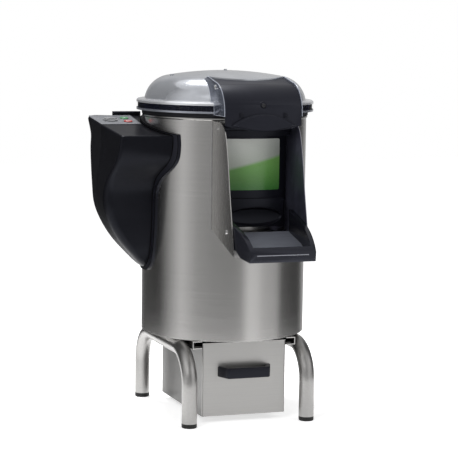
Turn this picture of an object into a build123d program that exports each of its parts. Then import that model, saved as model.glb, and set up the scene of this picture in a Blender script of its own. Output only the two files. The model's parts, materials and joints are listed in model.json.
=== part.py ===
from build123d import *
import math
import os

# Catering potato peeler on a low tube stand.
# Millimetres. +Z is up, the chute and the drawer face -Y, the control housing stands on -X.
# The origin is on the floor, on the drum's axis. Pairs of numbers are (y, z) in a side view.
# Names that end in _out hold distances off the drum's outside: in front of it as
# (distance, height), and on its left side, in the control housing, as (distance, y).

# ---- drum -------------------------------------------------------------------
drum_radius = 190.0
drum_wall = 1.5
drum_base_z = 192.0
drum_top_z = 700.0
drum_foot_flange = 14.0
bead_drop = 10.0
bead_height = 7.0
bead_proud = 2.5
bead_slant = 2.0
rim_seal_inside = 2.5
rim_seal_outside = 3.5
rim_seal_round = 1.5
wire_hole_z = 470.0
wire_hole_radius = 14.0

# ---- peeling chamber --------------------------------------------------------
floor_z = 402.0
floor_thickness = 2.0
floor_lip = 2.0
floor_lip_height = 16.0
disc_z = 428.0
disc_thickness = 8.0
disc_gap = 2.2
disc_round = 3.0
disc_boss_radius = 28.0
disc_boss_height = 6.0
disc_skirt_radius = 30.0
disc_skirt_height = 8.0
wave_radius = 23.0
wave_height = 9.0
wave_start = 0.20
wave_end = 0.92
wave_count = 3
sweeper_gap = 2.0
sweeper_thickness = 6.0
sweeper_start = 33.0
sweeper_count = 2
liner_thickness = 3.2
liner_low_z = 450.0
liner_high_z = 652.0
liner_clearance = 2.0
outlet_half = 68.0
outlet_low_z = 460.0
outlet_high_z = 600.0
outlet_corner = 12.0

# ---- base plate and stand ---------------------------------------------------
base_plate_thickness = 2.5
base_plate_inset = 4.0
tube_radius = 17.5
tube_wall = 1.5
hoop_inset = 48.0
hoop_centre_y = -7.0
hoop_half_span = 181.0
hoop_bend = 80.0
foot_height = 10.0
foot_insert = 22.0
foot_chamfer = 1.5
base_bolt_y = 70.0
base_bolt_radius = 4.0
base_bolt_length = 12.0
base_head_radius = 7.0
base_head_height = 5.0

# ---- waste drawer -----------------------------------------------------------
drawer_front_y = -155.5
drawer_low_z = 15.0
drawer_high_z = 183.0
drawer_wall = 1.2
drawer_corner = 4.0
rail_gap = 1.2
rail_thickness = 2.0
rail_low_z = 172.0
rail_width = 23.5
runner_clearance = 0.3
runner_thickness = 1.5
runner_gap = 6.5
runner_inset = 12.0
basket_gap = 3.5
basket_wall = 1.0
basket_floor_z = 96.0
basket_rim_gap = 0.3
slot_rows = 7
slot_columns = 10
slot_fill = (0.60, 0.25)
handle_foot_half = 64.0
handle_bar_half = 50.0
handle_reach = 35.0
handle_low_z = 106.0
handle_height = 24.0
handle_bar = 10.0
handle_arm = 12.0
handle_arm_lean = 0.67
handle_round = 8.0
handle_inner_round = 5.0
handle_chamfer = 1.5
handle_screw_x = 56.0
handle_screw_depth = 9.0
outlet_pipe_radius = 25.0
outlet_pipe_wall = 2.0
outlet_pipe_z = 48.0
outlet_pipe_length = 45.0
outlet_collar = 6.0
outlet_collar_thickness = 3.0

# ---- chute ------------------------------------------------------------------
plate_half = 89.0
plate_thickness = 2.0
pan_thickness = 1.5
chute_top_drop = 10.5
chute_crest_out = 22.0
chute_shoulder_out = (50.0, 681.5)
chute_front_out = ((67.0, 660.0), (82.0, 610.0), (98.0, 535.0), (116.0, 460.0))
chute_nose_out = (128.0, 402.5)
chute_sill_out = (-22.0, 447.0)
apron_rise = 14.0

# ---- discharge tray ---------------------------------------------------------
tray_gap = 0.6
tray_wall = 9.5
tray_front_out = (199.0, 418.0)
tray_front_half = 76.0
tray_front_round = 8.0
tray_shoulder_out = 110.0
tray_back_out = (32.0, 493.0)
tray_crest_out = ((86.0, 477.0), (128.0, 464.0), (170.0, 445.0), (197.0, 421.0))
tray_nose_out = ((196.0, 397.0), (152.0, 402.5))
tray_rest = 0.2
tray_underside_z = 420.0
tray_back_underside_z = 439.0
tray_floor_front_z = 401.5
tray_floor_back_z = 442.5
tray_groove = (-60.0, 60.0, 411.0, 414.0)
tray_groove_depth = 3.0
tray_screw_out = (81.0, 452.0)
tray_screw_length = 9.0
tray_floor_sheet = 1.5
tray_floor_gap = 0.3

# ---- discharge door ---------------------------------------------------------
door_pin_out = 15.5
door_pin_drop = 23.5
door_pin_radius = 4.0
door_pin_end = 3.0
door_bore_clearance = 0.05
door_barrel_radius = 7.5
door_gap = 1.6
door_thickness = 7.9
door_side_gap = 4.0
door_foot_half = 71.0
door_low_z = 455.0
door_step_z = 518.0
door_step_proud = 16.0
door_step_lap = 6.0
door_top_drop = 4.5
door_beam_height = 14.0
door_beam_reach = 30.0
label_half = 64.5
label_low_z = 536.0
label_high_z = 651.0
label_thickness = 0.6
label_corner = 4.0
grip_half = 76.0
grip_z = 477.0
grip_half_height = 22.0
grip_depth = 13.0
grip_floor = (0.82, 0.72)
door_seal_gap = 0.3
door_seal_margin = 12.0

# ---- lid --------------------------------------------------------------------
# Places on the dome are (share of the foot's radius, share of the rise over the ledge).
lid_wall = 3.0
dome_rise = 67.0
crown_middle_share = (0.388, 0.942)
crease_share = (0.746, 0.7985)
shoulder_share = (0.9144, 0.5224)
crease_wall_share = 0.4
shoulder_wall_share = 0.7
dome_foot_inset = 3.0
dome_foot_round = 4.0
rim_overhang = 16.0
rim_corner = 3.0
rim_seal_height = 6.0
skirt_height = 25.0
# Knobs: share of the foot's radius, radius, foot and top over the crown.
crown_knob = (0.0, 3.5, -2.0, 2.5)
side_knob = (-0.695, 4.5, -14.5, -9.5)
lid_seal_gap = 0.4
lid_seal_inset = 1.0
seal_rib_count = 90
seal_rib_height = 0.9
seal_rib_width = 4.0
hinge_behind_rim = 16.0
hinge_rise = 6.0
hinge_pin_radius = 5.0
hinge_pin_end = 3.0
hinge_bore_clearance = 0.05
knuckle_radius = 9.0
knuckle_half = 27.5
knuckle_gap = 0.6
ear_half = 36.0
ear_drop = (62.0, 26.0, 12.0)
ear_root_gap = 4.0
ear_rim_gap = 2.0
bracket_drop = (72.0, 28.0)
bracket_depth = 15.0
strap_toe = 2.5
strap_web = (1.5, 7.0)
strap_thickness = 3.0
strap_eye = (-3.0, 6.0)

# ---- visor ------------------------------------------------------------------
# Heights are over the lid's ledge.
visor_overhang = 0.5
visor_wall = 3.0
visor_heel_out = (-72.0, 50.5)
visor_top_out = (-48.0, 57.0)
visor_shoulder_out = (6.0, 46.0)
visor_brow_out = (46.0, 26.5)
visor_front_out = (64.5, -9.0)
visor_lip_out = (67.0, -60.0)
visor_lip_side = -47.0
visor_brow_share = 0.7
visor_back_inset = 22.0
cover_drop = 3.0
cheek_gap = 0.2
cheek_thickness = 2.2
cheek_proud = 0.8
cheek_foot = -27.0
cheek_screw_out = (5.0, 35.0)
cheek_boss = 12.0
cheek_boss_half = 8.0
upstand_share = 0.53
dome_clearance = 0.4
thumb_arch = -22.0
thumb_end_half = 74.0
thumb_end = -46.5
thumb_proud = 7.0
thumb_chamfer = 3.0
face_screw_drop = 3.0
face_screw_sink = 2.2
face_screw_recess = 7.0
face_boss_radius = 9.0
face_boss_depth = 12.0
face_screw_length = 8.0
magnet_size = (19.0, 22.0, 8.0)
magnet_out = (48.0, -25.0)
switch_size = (19.0, 20.0, 11.0)
switch_out = 46.0
switch_sink = 3.5

# ---- control housing --------------------------------------------------------
# Horizontal sections, bottom to top: height, half width at the drum, half width
# outside, reach, how much less it reaches at the front, radii of the rear and the
# front corner.
housing_sections_out = (
    (345.0, 9.0, 10.0, 10.0, 0.0, 6.0, 6.0),
    (353.0, 18.0, 24.0, 21.5, 0.0, 12.0, 12.0),
    (368.0, 30.0, 35.0, 36.3, 0.0, 16.0, 16.0),
    (387.0, 37.0, 41.0, 54.3, 0.0, 18.0, 18.0),
    (409.0, 41.0, 44.0, 73.8, 0.0, 20.0, 20.0),
    (437.0, 44.0, 47.0, 92.8, 1.0, 20.0, 20.0),
    (460.0, 45.0, 49.0, 105.0, 2.0, 20.0, 20.0),
    (495.0, 45.0, 54.0, 117.0, 4.0, 22.0, 20.0),
    (525.0, 46.0, 59.0, 120.0, 7.0, 24.0, 19.0),
    (545.0, 53.0, 66.0, 120.2, 9.0, 26.0, 17.0),
    (562.0, 67.0, 75.0, 119.1, 11.5, 27.0, 15.0),
    (580.0, 89.0, 86.0, 116.8, 14.5, 28.0, 12.0),
    (600.0, 105.0, 97.0, 114.7, 17.5, 29.0, 10.0),
    (625.0, 110.0, 106.0, 112.9, 19.0, 30.0, 9.0),
    (650.0, 110.0, 110.0, 111.8, 19.5, 30.0, 9.0),
    (705.0, 110.0, 113.0, 110.5, 19.5, 30.0, 9.0),
)
housing_root_inset = 50.0
housing_wall = 3.0
housing_top_round = 5.0
crease_step_share = 0.28
crease_place = 0.07
margin_lean = 0.6
saddle_thickness = 6.0
saddle_margin = 11.0
saddle_rise = 4.0
top_slope = 9.0
top_drop = 29.0
ridge_out = (51.0, -17.0)
ridge_y = (106.0, 110.5)
ridge_height = 9.0
panel_thickness = 1.0
panel_out = (10.0, 130.0)
panel_span = (9.0, 105.0)
panel_inset = 2.5
button_radius = 10.0
button_gap = 0.3
button_proud = 2.0
button_round = 1.2
button_height = 11.0
button_collar = (11.6, 1.5)
start_out = (34.0, 70.0)
stop_out = (34.0, 36.0)
dial_out = (72.0, 53.0)
dial_radius = 17.0
dial_height = 4.5
dial_plate_height = 2.0
dial_bar = (30.0, 9.0)
dial_spindle_radius = 3.0
dial_spindle_depth = 12.0
spindle_clearance = 0.05
board_size = (70.0, 74.0)
board_out = (51.0, 53.0)
board_lift = -24.0
board_thickness = 2.0
board_post = (30.0, 32.0)
board_post_radius = 3.0
switch_block = 12.0
switch_block_lift = -10.4
timer_block = 20.0
timer_block_lift = -6.0
contactor_depth = 62.0
contactor_half = 28.0
contactor_z = (540.0, 610.0)
terminal_pitch = 18.0
terminal_notch = (10.0, 8.0, 14.0)

# ---- drive ------------------------------------------------------------------
shaft_radius = 12.5
shaft_low_z = 203.0
spigot_radius = 9.0
spigot_height = 12.0
shaft_chamfer = 1.0
bearing_radius = 22.0
bearing_height = 12.0
bearing_groove = (2.2, 1.0)
bearing_clearance = 0.05
bearing_high_z = 376.0
hub_radius = 29.5
hub_bore = 16.5
hub_rise = 4.0
hub_foot_radius = 44.0
hub_foot_height = 8.0
hub_foot_flat_y = 34.0
shaft_seal_height = 9.0
shaft_seal_clearance = 0.08
bracket_z = 236.0
bracket_thickness = 4.0
bracket_half = 82.0
bracket_front_y = -48.0
bracket_past_motor = 55.0
bracket_hole_gap = 3.0
motor_hub_gap = 3.0
motor_wall_gap = 15.5
motor_body_low_z = 250.0
motor_high_z = 392.0
motor_flange = 12.0
fin_count = 24
fin_depth = 4.0
fin_thickness = 2.5
fin_margin = 14.0
rotor_radius = 7.0
rotor_clearance = 0.05
rotor_depth = 34.0
belt_z = 206.0
belt_width = 16.0
driven_pulley_radius = 58.0
motor_pulley_radius = 20.0
pulley_flange = 5.0
pulley_flange_thickness = 2.5
belt_thickness = 4.0
belt_clearance = 0.3
hub_bolt_radius = 37.0
motor_bolt_inset = 16.0
mount_bolt_radius = 3.0
mount_bolt_length = 10.0
mount_head_radius = 6.0
mount_head_height = 4.0
spout_y = -112.0
spout_radius = 30.0
spout_wall = 1.5
spout_low_z = 187.0
spout_clearance = 0.5

# ---- fittings ---------------------------------------------------------------
inlet_z = 600.0
inlet_bore_radius = 9.0
inlet_thread_radius = 13.2
inlet_thread_length = 18.0
inlet_washer_radius = 19.0
inlet_washer_reach = 12.0
inlet_nut_height = 8.0
nozzle_radius = 14.5
nozzle_length = 12.0
nozzle_neck = 5.0
nozzle_slot = (3.0, 8.0)
gland_radius = 11.0
gland_thread_radius = 8.0
gland_bore_radius = 5.0
gland_nut_radius = 13.0
gland_nut_height = 7.0
gland_reach = 22.0
gland_inside = 8.0
gland_foot_gap = 0.5
gland_drawer_gap = 3.0
gland_x = 40.0
screw_head_radius = 5.0
screw_head_height = 2.6
screw_head_round = 1.5
screw_shank_radius = 2.5
socket_radius = 2.2
socket_depth = 1.2

FLOOR_UP = (Align.CENTER, Align.CENTER, Align.MIN)
past = 1.0  # how far a cutter runs past the face it opens
cutter_reach = 80.0  # how far cutters through the drum's wall run out of it
cutter_root = 40.0  # and how deep inside it they start


def off_drum(point):
    """Turns (distance off the drum, second coordinate) into coordinates."""
    return (-drum_radius - point[0], point[1])


def over_ledge(point):
    """Turns (distance off the drum, height over the lid's ledge) into (y, z)."""
    return (-drum_radius - point[0], ledge_z + point[1])


def on_dome(share):
    """Turns shares of the dome's foot radius and rise into (radius, z)."""
    return (dome_foot_radius * share[0], ledge_z + dome_rise * share[1])


drum_inner = drum_radius - drum_wall
inside_y = -drum_radius + cutter_root
outside_y = -drum_radius - cutter_reach
bead_z = drum_top_z - bead_drop
rim_low_z = drum_top_z + rim_seal_height
rim_radius = drum_radius + rim_overhang
ledge_z = rim_low_z + skirt_height
dome_foot_radius = drum_radius - dome_foot_inset
crown_z = ledge_z + dome_rise
crown_middle = on_dome(crown_middle_share)
crease_radius, crease_z = on_dome(crease_share)
shoulder_middle = on_dome(shoulder_share)
hinge_y = rim_radius + hinge_behind_rim
hinge_z = rim_low_z + hinge_rise
bracket_back_y = drum_radius + bracket_depth

chute_top_z = drum_top_z - chute_top_drop
chute_crest_y = -drum_radius - chute_crest_out
chute_shoulder = off_drum(chute_shoulder_out)
chute_front = [off_drum(point) for point in chute_front_out]
chute_nose_y, chute_nose_z = off_drum(chute_nose_out)
chute_sill_y, chute_sill_z = off_drum(chute_sill_out)
tray_front_y, tray_front_z = off_drum(tray_front_out)
tray_back_y, tray_back_z = off_drum(tray_back_out)
tray_shoulder_y = -drum_radius - tray_shoulder_out
tray_screw_y, tray_screw_z = off_drum(tray_screw_out)
door_pin_y = -drum_radius - door_pin_out
door_pin_z = drum_top_z - door_pin_drop
door_top_z = door_pin_z - door_top_drop
door_inner = drum_radius + door_gap
door_face = door_inner + door_thickness

visor_heel = over_ledge(visor_heel_out)
visor_top = over_ledge(visor_top_out)
visor_shoulder = over_ledge(visor_shoulder_out)
visor_brow = over_ledge(visor_brow_out)
visor_front = over_ledge(visor_front_out)
visor_lip = over_ledge(visor_lip_out)
visor_lip_side_z = ledge_z + visor_lip_side
visor_back_radius = drum_radius - visor_back_inset
door_half = plate_half - plate_thickness - door_side_gap
visor_half = plate_half + visor_overhang
cheek_inner = visor_half + cheek_gap
cheek_low_z = ledge_z + cheek_foot
cheek_screw = over_ledge(cheek_screw_out)
upstand_low_z = ledge_z + dome_rise * upstand_share
thumb_arch_z = ledge_z + thumb_arch
thumb_end_z = ledge_z + thumb_end
face_screw_z = ledge_z - face_screw_drop
magnet_front_y, magnet_low_z = over_ledge(magnet_out)
switch_front_y = -drum_radius - switch_out
switch_low_z = chute_top_z - switch_sink

saddle_radius = drum_radius + saddle_thickness
housing_root = drum_radius - housing_root_inset
top_z = drum_top_z - top_drop
ridge_x = [-drum_radius - out for out in ridge_out]
start_place = off_drum(start_out)
stop_place = off_drum(stop_out)
dial_place = off_drum(dial_out)
board_place = off_drum(board_out)
contactor_reach = drum_radius + contactor_depth

base_low_z = drum_base_z - base_plate_thickness
base_plate_radius = drum_radius - base_plate_inset
gland_swing = drum_inner - drum_foot_flange - gland_foot_gap - gland_thread_radius
gland_y = math.sqrt(gland_swing**2 - gland_x**2)
hoop_x = drum_radius - hoop_inset
hoop_top_z = base_low_z - tube_radius
rail_half = hoop_x - tube_radius
drawer_half = rail_half - rail_width
runner_reach = rail_half - runner_gap
drawer_back_y = gland_y - gland_nut_radius - gland_drawer_gap
motor_radius = (drum_inner - motor_wall_gap - hub_foot_flat_y - motor_hub_gap) / 2
motor_y = hub_foot_flat_y + motor_hub_gap + motor_radius
runner_z = rail_low_z + rail_thickness + runner_clearance
bracket_top_z = bracket_z + bracket_thickness
hub_top_z = floor_z + floor_thickness + hub_rise
disc_radius = drum_inner - liner_thickness - disc_gap
disc_top_z = disc_z + disc_thickness
face_screw_y = visor_front[0] + face_screw_sink


# ---- shared forms -----------------------------------------------------------
def disc(radius, low, high, x=0.0, y=0.0):
    """Upright cylinder between two heights."""
    return Pos(x, y, low) * Cylinder(radius, high - low, align=FLOOR_UP)


def ring(inner, outer, low, high, x=0.0, y=0.0):
    """Upright tube between two heights."""
    return disc(outer, low, high, x, y) - disc(inner, low - past, high + past, x, y)


def hexagon(radius, low, high, x=0.0, y=0.0):
    """Upright hexagonal prism between two heights."""
    return Pos(x, y, low) * extrude(RegularPolygon(radius, 6), high - low)


def block(x0, x1, y0, y1, z0, z1):
    """Box between two corners."""
    centre = Pos((x0 + x1) / 2, (y0 + y1) / 2, (z0 + z1) / 2)
    return centre * Box(x1 - x0, y1 - y0, z1 - z0)


def side_slab(face, x0, x1):
    """A face drawn in (y, z), drawn out along X between two stations."""
    return extrude(Plane.YZ.offset(x0) * face, amount=x1 - x0, dir=(1, 0, 0))


def front_slab(face, y0, y1):
    """A face drawn in (x, z), drawn out along Y from y0 towards -Y as far as y1."""
    return extrude(Plane.XZ.offset(-y0) * face, amount=y0 - y1, dir=(0, -1, 0))


def outline(*points):
    """Closed face through straight-sided points."""
    return make_face(Polyline(*points, close=True))


def along_x(radius, x0, x1, y, z):
    """Round bar along X."""
    return Pos(x0, y, z) * Rot(0, 90, 0) * Cylinder(radius, x1 - x0, align=FLOOR_UP)


def along_y(radius, y0, y1, x, z):
    """Round bar along Y."""
    return Pos(x, y0, z) * Rot(-90, 0, 0) * Cylinder(radius, y1 - y0, align=FLOOR_UP)


def between(side, near, far):
    """Two stations on one side of the middle plane, in rising order; side is -1 or 1."""
    return sorted((side * near, side * far))


def pan_screw(shank_length):
    """Pan head screw whose head sits on z = 0 and whose shank points down."""
    head = Cylinder(screw_head_radius, screw_head_height, align=FLOOR_UP)
    head = fillet(head.edges().group_by(Axis.Z)[-1], screw_head_round)
    shank = disc(screw_shank_radius, -shank_length, 0.0)
    socket = hexagon(socket_radius, screw_head_height - socket_depth, screw_head_height + past)
    return head + shank - socket


def save(**nodes):
    """Writes each node to its own STEP file."""
    for name, shape in nodes.items():
        export_step(shape, f"parts/{name}.step")


# ---- drum -------------------------------------------------------------------
def outlet_window(margin):
    """Cutter for the discharge opening, grown by a margin all round."""
    size = (2 * (outlet_half + margin), outlet_high_z - outlet_low_z + 2 * margin)
    face = RectangleRounded(*size, outlet_corner + margin)
    return front_slab(Pos(0, (outlet_high_z + outlet_low_z) / 2) * face, inside_y, outside_y)


def make_drum_shell():
    """Rolled sheet cylinder with a swaged bead, an inturned foot and its openings."""
    bead = drum_radius + bead_proud
    foot = drum_inner - drum_foot_flange
    profile = outline(
        (foot, drum_base_z),
        (drum_radius, drum_base_z),
        (drum_radius, bead_z),
        (bead, bead_z + bead_slant),
        (bead, bead_z + bead_height - bead_slant),
        (drum_radius, bead_z + bead_height),
        (drum_radius, drum_top_z),
        (drum_inner, drum_top_z),
        (drum_inner, drum_base_z + drum_wall),
        (foot, drum_base_z + drum_wall),
    )
    shell = revolve(Plane.XZ * profile, Axis.Z) - outlet_window(0.0)
    shell -= along_y(inlet_thread_radius, -inside_y, -outside_y, 0.0, inlet_z)
    return shell - along_x(wire_hole_radius, -drum_radius - past, inside_y, 0.0, wire_hole_z)


def make_rim_seal():
    """Rubber profile pushed over the drum's top edge."""
    low = bead_z + bead_height
    body = ring(drum_inner - rim_seal_inside, drum_radius + rim_seal_outside, low, rim_low_z)
    body = fillet(body.edges().group_by(Axis.Z)[-1], rim_seal_round)
    return body - (disc(drum_radius, low - past, drum_top_z) - disc(drum_inner, 0.0, crown_z))


def make_chamber_floor():
    """Pan under the turning disc, with a turned-up edge and the spout's hole."""
    pan = disc(drum_inner, floor_z, floor_z + floor_thickness)
    pan += ring(drum_inner - floor_lip, drum_inner, floor_z, floor_z + floor_lip_height)
    pan -= disc(hub_radius, floor_z - past, disc_z)
    return pan - disc(spout_radius - spout_wall, floor_z - past, disc_z, 0, spout_y)


def make_liner():
    """Grit-coated sleeve inside the chamber, open at the outlet."""
    sleeve = ring(drum_inner - liner_thickness, drum_inner, liner_low_z, liner_high_z)
    sleeve -= outlet_window(liner_clearance)
    return sleeve - along_y(nozzle_radius + liner_clearance, 0.0, drum_radius, 0.0, inlet_z)


# ---- chute ------------------------------------------------------------------
def chute_outline():
    """Side view of a chute plate: swept front edge, sloping lower edge."""
    top = Line((chute_sill_y, chute_top_z), (chute_crest_y, chute_top_z))
    shoulder = ThreePointArc(top @ 1, chute_shoulder, chute_front[0])
    nose = (chute_nose_y, chute_nose_z)
    front = Spline(*chute_front, nose)
    lower = Polyline(nose, (chute_sill_y, chute_sill_z), (chute_sill_y, chute_top_z))
    return make_face([top, shoulder, front, lower])


def make_chute_plate(side):
    """Polished side plate welded edge-on to the drum; side is -1 or 1."""
    near, far = between(side, plate_half - plate_thickness, plate_half)
    plate = side_slab(chute_outline(), near, far)
    plate -= disc(drum_radius, 0.0, crown_z)
    plate -= along_x(door_pin_radius, near - past, far + past, door_pin_y, door_pin_z)
    return plate - along_x(screw_shank_radius, near - past, far + past, tray_screw_y, tray_screw_z)


def pan_height(y):
    """Height of the chute pan's upper face at a station."""
    slope = (chute_sill_z - chute_nose_z) / (chute_sill_y - chute_nose_y)
    return chute_nose_z + (y - chute_nose_y) * slope


def make_chute_pan():
    """Sloping sheet between the plates, folded up and down to an apron at its nose."""
    half = plate_half - plate_thickness
    inner_y = chute_nose_y + pan_thickness
    face = outline(
        (chute_sill_y, pan_height(chute_sill_y)),
        (inner_y, pan_height(inner_y)),
        (inner_y, chute_nose_z + apron_rise),
        (chute_nose_y, chute_nose_z + apron_rise),
        (chute_nose_y, chute_nose_z - pan_thickness),
        (chute_sill_y, pan_height(chute_sill_y) - pan_thickness),
    )
    return side_slab(face, -half, half) - disc(drum_radius, 0.0, crown_z)


# ---- discharge tray ---------------------------------------------------------
def tray_plan(inset, y_back):
    """Upright prism over the tray's plan, which tapers towards the front."""
    rear = plate_half - plate_thickness - tray_gap - inset
    front = tray_front_half - inset
    nose = tray_front_y + inset
    plan = outline(
        (-rear, y_back), (-rear, tray_shoulder_y), (-front, nose),
        (front, nose), (rear, tray_shoulder_y), (rear, y_back),
    )
    return extrude(plan, amount=drum_top_z, dir=(0, 0, 1))


def tray_floor_z(y):
    """Height of the moulding's inside floor at a station."""
    rise = (tray_floor_back_z - tray_floor_front_z) / (tray_back_y - tray_front_y)
    return tray_floor_front_z + rise * (y - tray_front_y)


def tray_space(lift):
    """Everything higher than the tray's inside floor, raised by a lift."""
    y0 = tray_front_y - past
    y1 = tray_back_y + past
    face = outline(
        (y0, tray_floor_z(y0) + lift), (y1, tray_floor_z(y1) + lift),
        (y1, drum_top_z), (y0, drum_top_z),
    )
    return side_slab(face, -plate_half, plate_half)


def make_tray():
    """Moulded spout frame: high wings between the plates, low bar at the front."""
    back = (tray_back_y, tray_back_z)
    crest = Spline(back, *[off_drum(point) for point in tray_crest_out])
    under = Polyline(
        crest @ 1, (tray_front_y, tray_front_z), *[off_drum(point) for point in tray_nose_out],
        (chute_nose_y, chute_nose_z + apron_rise + tray_rest), (tray_shoulder_y, tray_underside_z),
        (tray_back_y, tray_back_underside_z), back,
    )
    body = side_slab(make_face(crest + under), -plate_half, plate_half)
    body &= tray_plan(0.0, tray_back_y)
    body = fillet(body.edges().filter_by(Axis.Z).group_by(Axis.Y)[0], tray_front_round)
    body -= tray_plan(tray_wall, tray_back_y + past) & tray_space(0.0)
    x0, x1, low, high = tray_groove
    body -= block(x0, x1, tray_front_y - past, tray_front_y + tray_groove_depth, low, high)
    for side in (-1, 1):
        near, far = between(side, plate_half - tray_screw_length, plate_half)
        body -= along_x(screw_shank_radius, near, far, tray_screw_y, tray_screw_z)
    return body


def make_tray_floor():
    """Polished sheet laid in the tray."""
    sheet = tray_space(0.0) - tray_space(tray_floor_sheet)
    return sheet & tray_plan(tray_wall + tray_floor_gap, tray_back_y)


def make_tray_screws():
    """One screw through each chute plate into the tray's wing."""
    screws = []
    for side in (-1, 1):
        seat = Pos(side * plate_half, tray_screw_y, tray_screw_z) * Rot(0, 90 * side, 0)
        screws.append(seat * pan_screw(tray_screw_length))
    return Compound(screws)


# ---- discharge door ---------------------------------------------------------
def door_skin(inner, outer, half, low, high):
    """Curved panel concentric with the drum."""
    return ring(inner, outer, low, high) & block(-half, half, outside_y, inside_y, low, high)


def make_door():
    """Curved moulding with a stepped foot, a scooped oval grip and a hinge barrel."""
    step = door_face + door_step_proud
    bore = door_pin_radius + door_bore_clearance
    body = door_skin(door_inner, door_face, door_half, door_step_z - door_step_lap, door_top_z)
    body += door_skin(door_inner, step, door_foot_half, door_low_z, door_step_z)
    beam = block(
        -door_half, door_half, door_pin_y, inside_y, door_top_z - door_beam_height, door_top_z
    )
    body += beam & disc(drum_radius + door_beam_reach, 0.0, crown_z)
    body += along_x(door_barrel_radius, -door_half, door_half, door_pin_y, door_pin_z)
    body -= disc(door_inner, 0.0, crown_z)
    body -= along_x(bore, -door_half - past, door_half + past, door_pin_y, door_pin_z)
    return body - grip_scoop(step)


def grip_scoop(face_radius):
    """Oval finger hollow that narrows as it deepens."""
    mouth = Pos(0, grip_z) * Ellipse(grip_half, grip_half_height)
    floor = Pos(0, grip_z) * Ellipse(grip_half * grip_floor[0], grip_half_height * grip_floor[1])
    return loft(
        [Plane.XZ.offset(face_radius + past) * mouth,
         Plane.XZ.offset(face_radius - grip_depth) * floor]
    )


def make_door_label():
    """Thin printed sheet on the door's face."""
    sheet = ring(door_face, door_face + label_thickness, label_low_z, label_high_z)
    face = RectangleRounded(2 * label_half, label_high_z - label_low_z, label_corner)
    window = front_slab(Pos(0, (label_low_z + label_high_z) / 2) * face, inside_y, outside_y)
    return sheet & window


def make_door_seal():
    """Rubber frame between the door and the drum, round the opening."""
    low = door_low_z + past
    high = outlet_high_z + door_seal_margin
    half = door_foot_half - past
    frame = door_skin(drum_radius + door_seal_gap, door_inner, half, low, high)
    return frame - outlet_window(0.0)


# ---- lid --------------------------------------------------------------------
def dome_edges(inset):
    """Half profile of the dome's skin from its crown to its foot."""
    crown = ThreePointArc(
        (0.0, crown_z - inset),
        (crown_middle[0], crown_middle[1] - inset),
        (crease_radius - inset * crease_wall_share, crease_z - inset),
    )
    lean = inset * shoulder_wall_share
    shoulder = ThreePointArc(
        crown @ 1,
        (shoulder_middle[0] - lean, shoulder_middle[1] - lean),
        (dome_foot_radius - inset, ledge_z + dome_foot_round),
    )
    return crown, shoulder


def make_lid_dome():
    """Clear moulding: flat crown, round shoulder, ledge, skirt and the visor's upstand."""
    t = lid_wall
    out_crown, out_shoulder = dome_edges(0.0)
    in_crown, in_shoulder = dome_edges(t)
    skirt = Polyline(
        out_shoulder @ 1,
        (dome_foot_radius + past, ledge_z),
        (rim_radius - rim_corner, ledge_z),
        (rim_radius, ledge_z - rim_corner),
        (rim_radius, rim_low_z),
        (rim_radius - t, rim_low_z),
        (rim_radius - t, ledge_z - t),
        (dome_foot_radius - t, ledge_z - t),
        in_shoulder @ 1,
    )
    axis = Line(in_crown @ 0, out_crown @ 0)
    face = make_face([out_crown, out_shoulder, skirt, in_shoulder, in_crown, axis])
    dome = revolve(Plane.XZ * face, Axis.Z) + make_upstand()
    for share, radius, low, high in (crown_knob, side_knob):
        dome += disc(radius, crown_z + low, crown_z + high, share * dome_foot_radius, 0.0)
    return dome


def make_upstand():
    """Wall on the dome's shoulder that the visor's back edge leans on."""
    wall = ring(visor_back_radius - lid_wall, visor_back_radius, upstand_low_z, crown_z)
    below_top = outline(
        (visor_top[0], upstand_low_z), visor_top, visor_shoulder,
        (visor_shoulder[0], upstand_low_z),
    )
    return wall & side_slab(below_top, -visor_half, visor_half)


def make_lid_seal():
    """Ribbed rubber ring inside the lid's skirt."""
    inner = dome_foot_radius - lid_wall + lid_seal_inset
    outer = rim_radius - lid_wall
    low = rim_low_z + lid_seal_gap
    high = ledge_z - lid_wall
    body = ring(inner, outer - seal_rib_height, low, high)
    rib = block(inner + past, outer + past, -seal_rib_width / 2, seal_rib_width / 2, low, high)
    ribs = Part() + [turn * rib for turn in PolarLocations(0, seal_rib_count).locations]
    return body + (ribs & ring(inner, outer, low, high))


def visor_edges(drop, back):
    """Side view of the visor's skin, its top lowered and its face moved back."""
    top = Line((visor_top[0], visor_top[1] - drop), (visor_shoulder[0], visor_shoulder[1] - drop))
    brow = ThreePointArc(
        top @ 1,
        (visor_brow[0] + visor_brow_share * back, visor_brow[1] - visor_brow_share * drop),
        (visor_front[0] + back, visor_front[1]),
    )
    face = Line(brow @ 1, (visor_lip[0] + back, visor_lip[1]))
    return [top, brow, face]


def dome_body(clearance):
    """Solid of the lid's outside, for cutting what stands against it."""
    crown, shoulder = dome_edges(-clearance)
    skirt = Polyline(
        shoulder @ 1,
        (dome_foot_radius + past + clearance, ledge_z + clearance),
        (rim_radius + clearance, ledge_z + clearance),
        (rim_radius + clearance, cheek_low_z - past),
        (0.0, cheek_low_z - past),
        crown @ 0,
    )
    return revolve(Plane.XZ * make_face([crown, shoulder, skirt]), Axis.Z)


def thumb_lip():
    """Lens-shaped lip at the foot of the visor's face."""
    left = (-thumb_end_half, thumb_end_z)
    right = (thumb_end_half, thumb_end_z)
    lens = make_face(
        ThreePointArc(left, (0, thumb_arch_z), right) + ThreePointArc(right, (0, visor_lip[1]), left)
    )
    lip = front_slab(lens, visor_lip[0] + visor_wall, visor_lip[0] - thumb_proud)
    return chamfer(lip.edges().group_by(Axis.Y)[0], thumb_chamfer)


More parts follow.
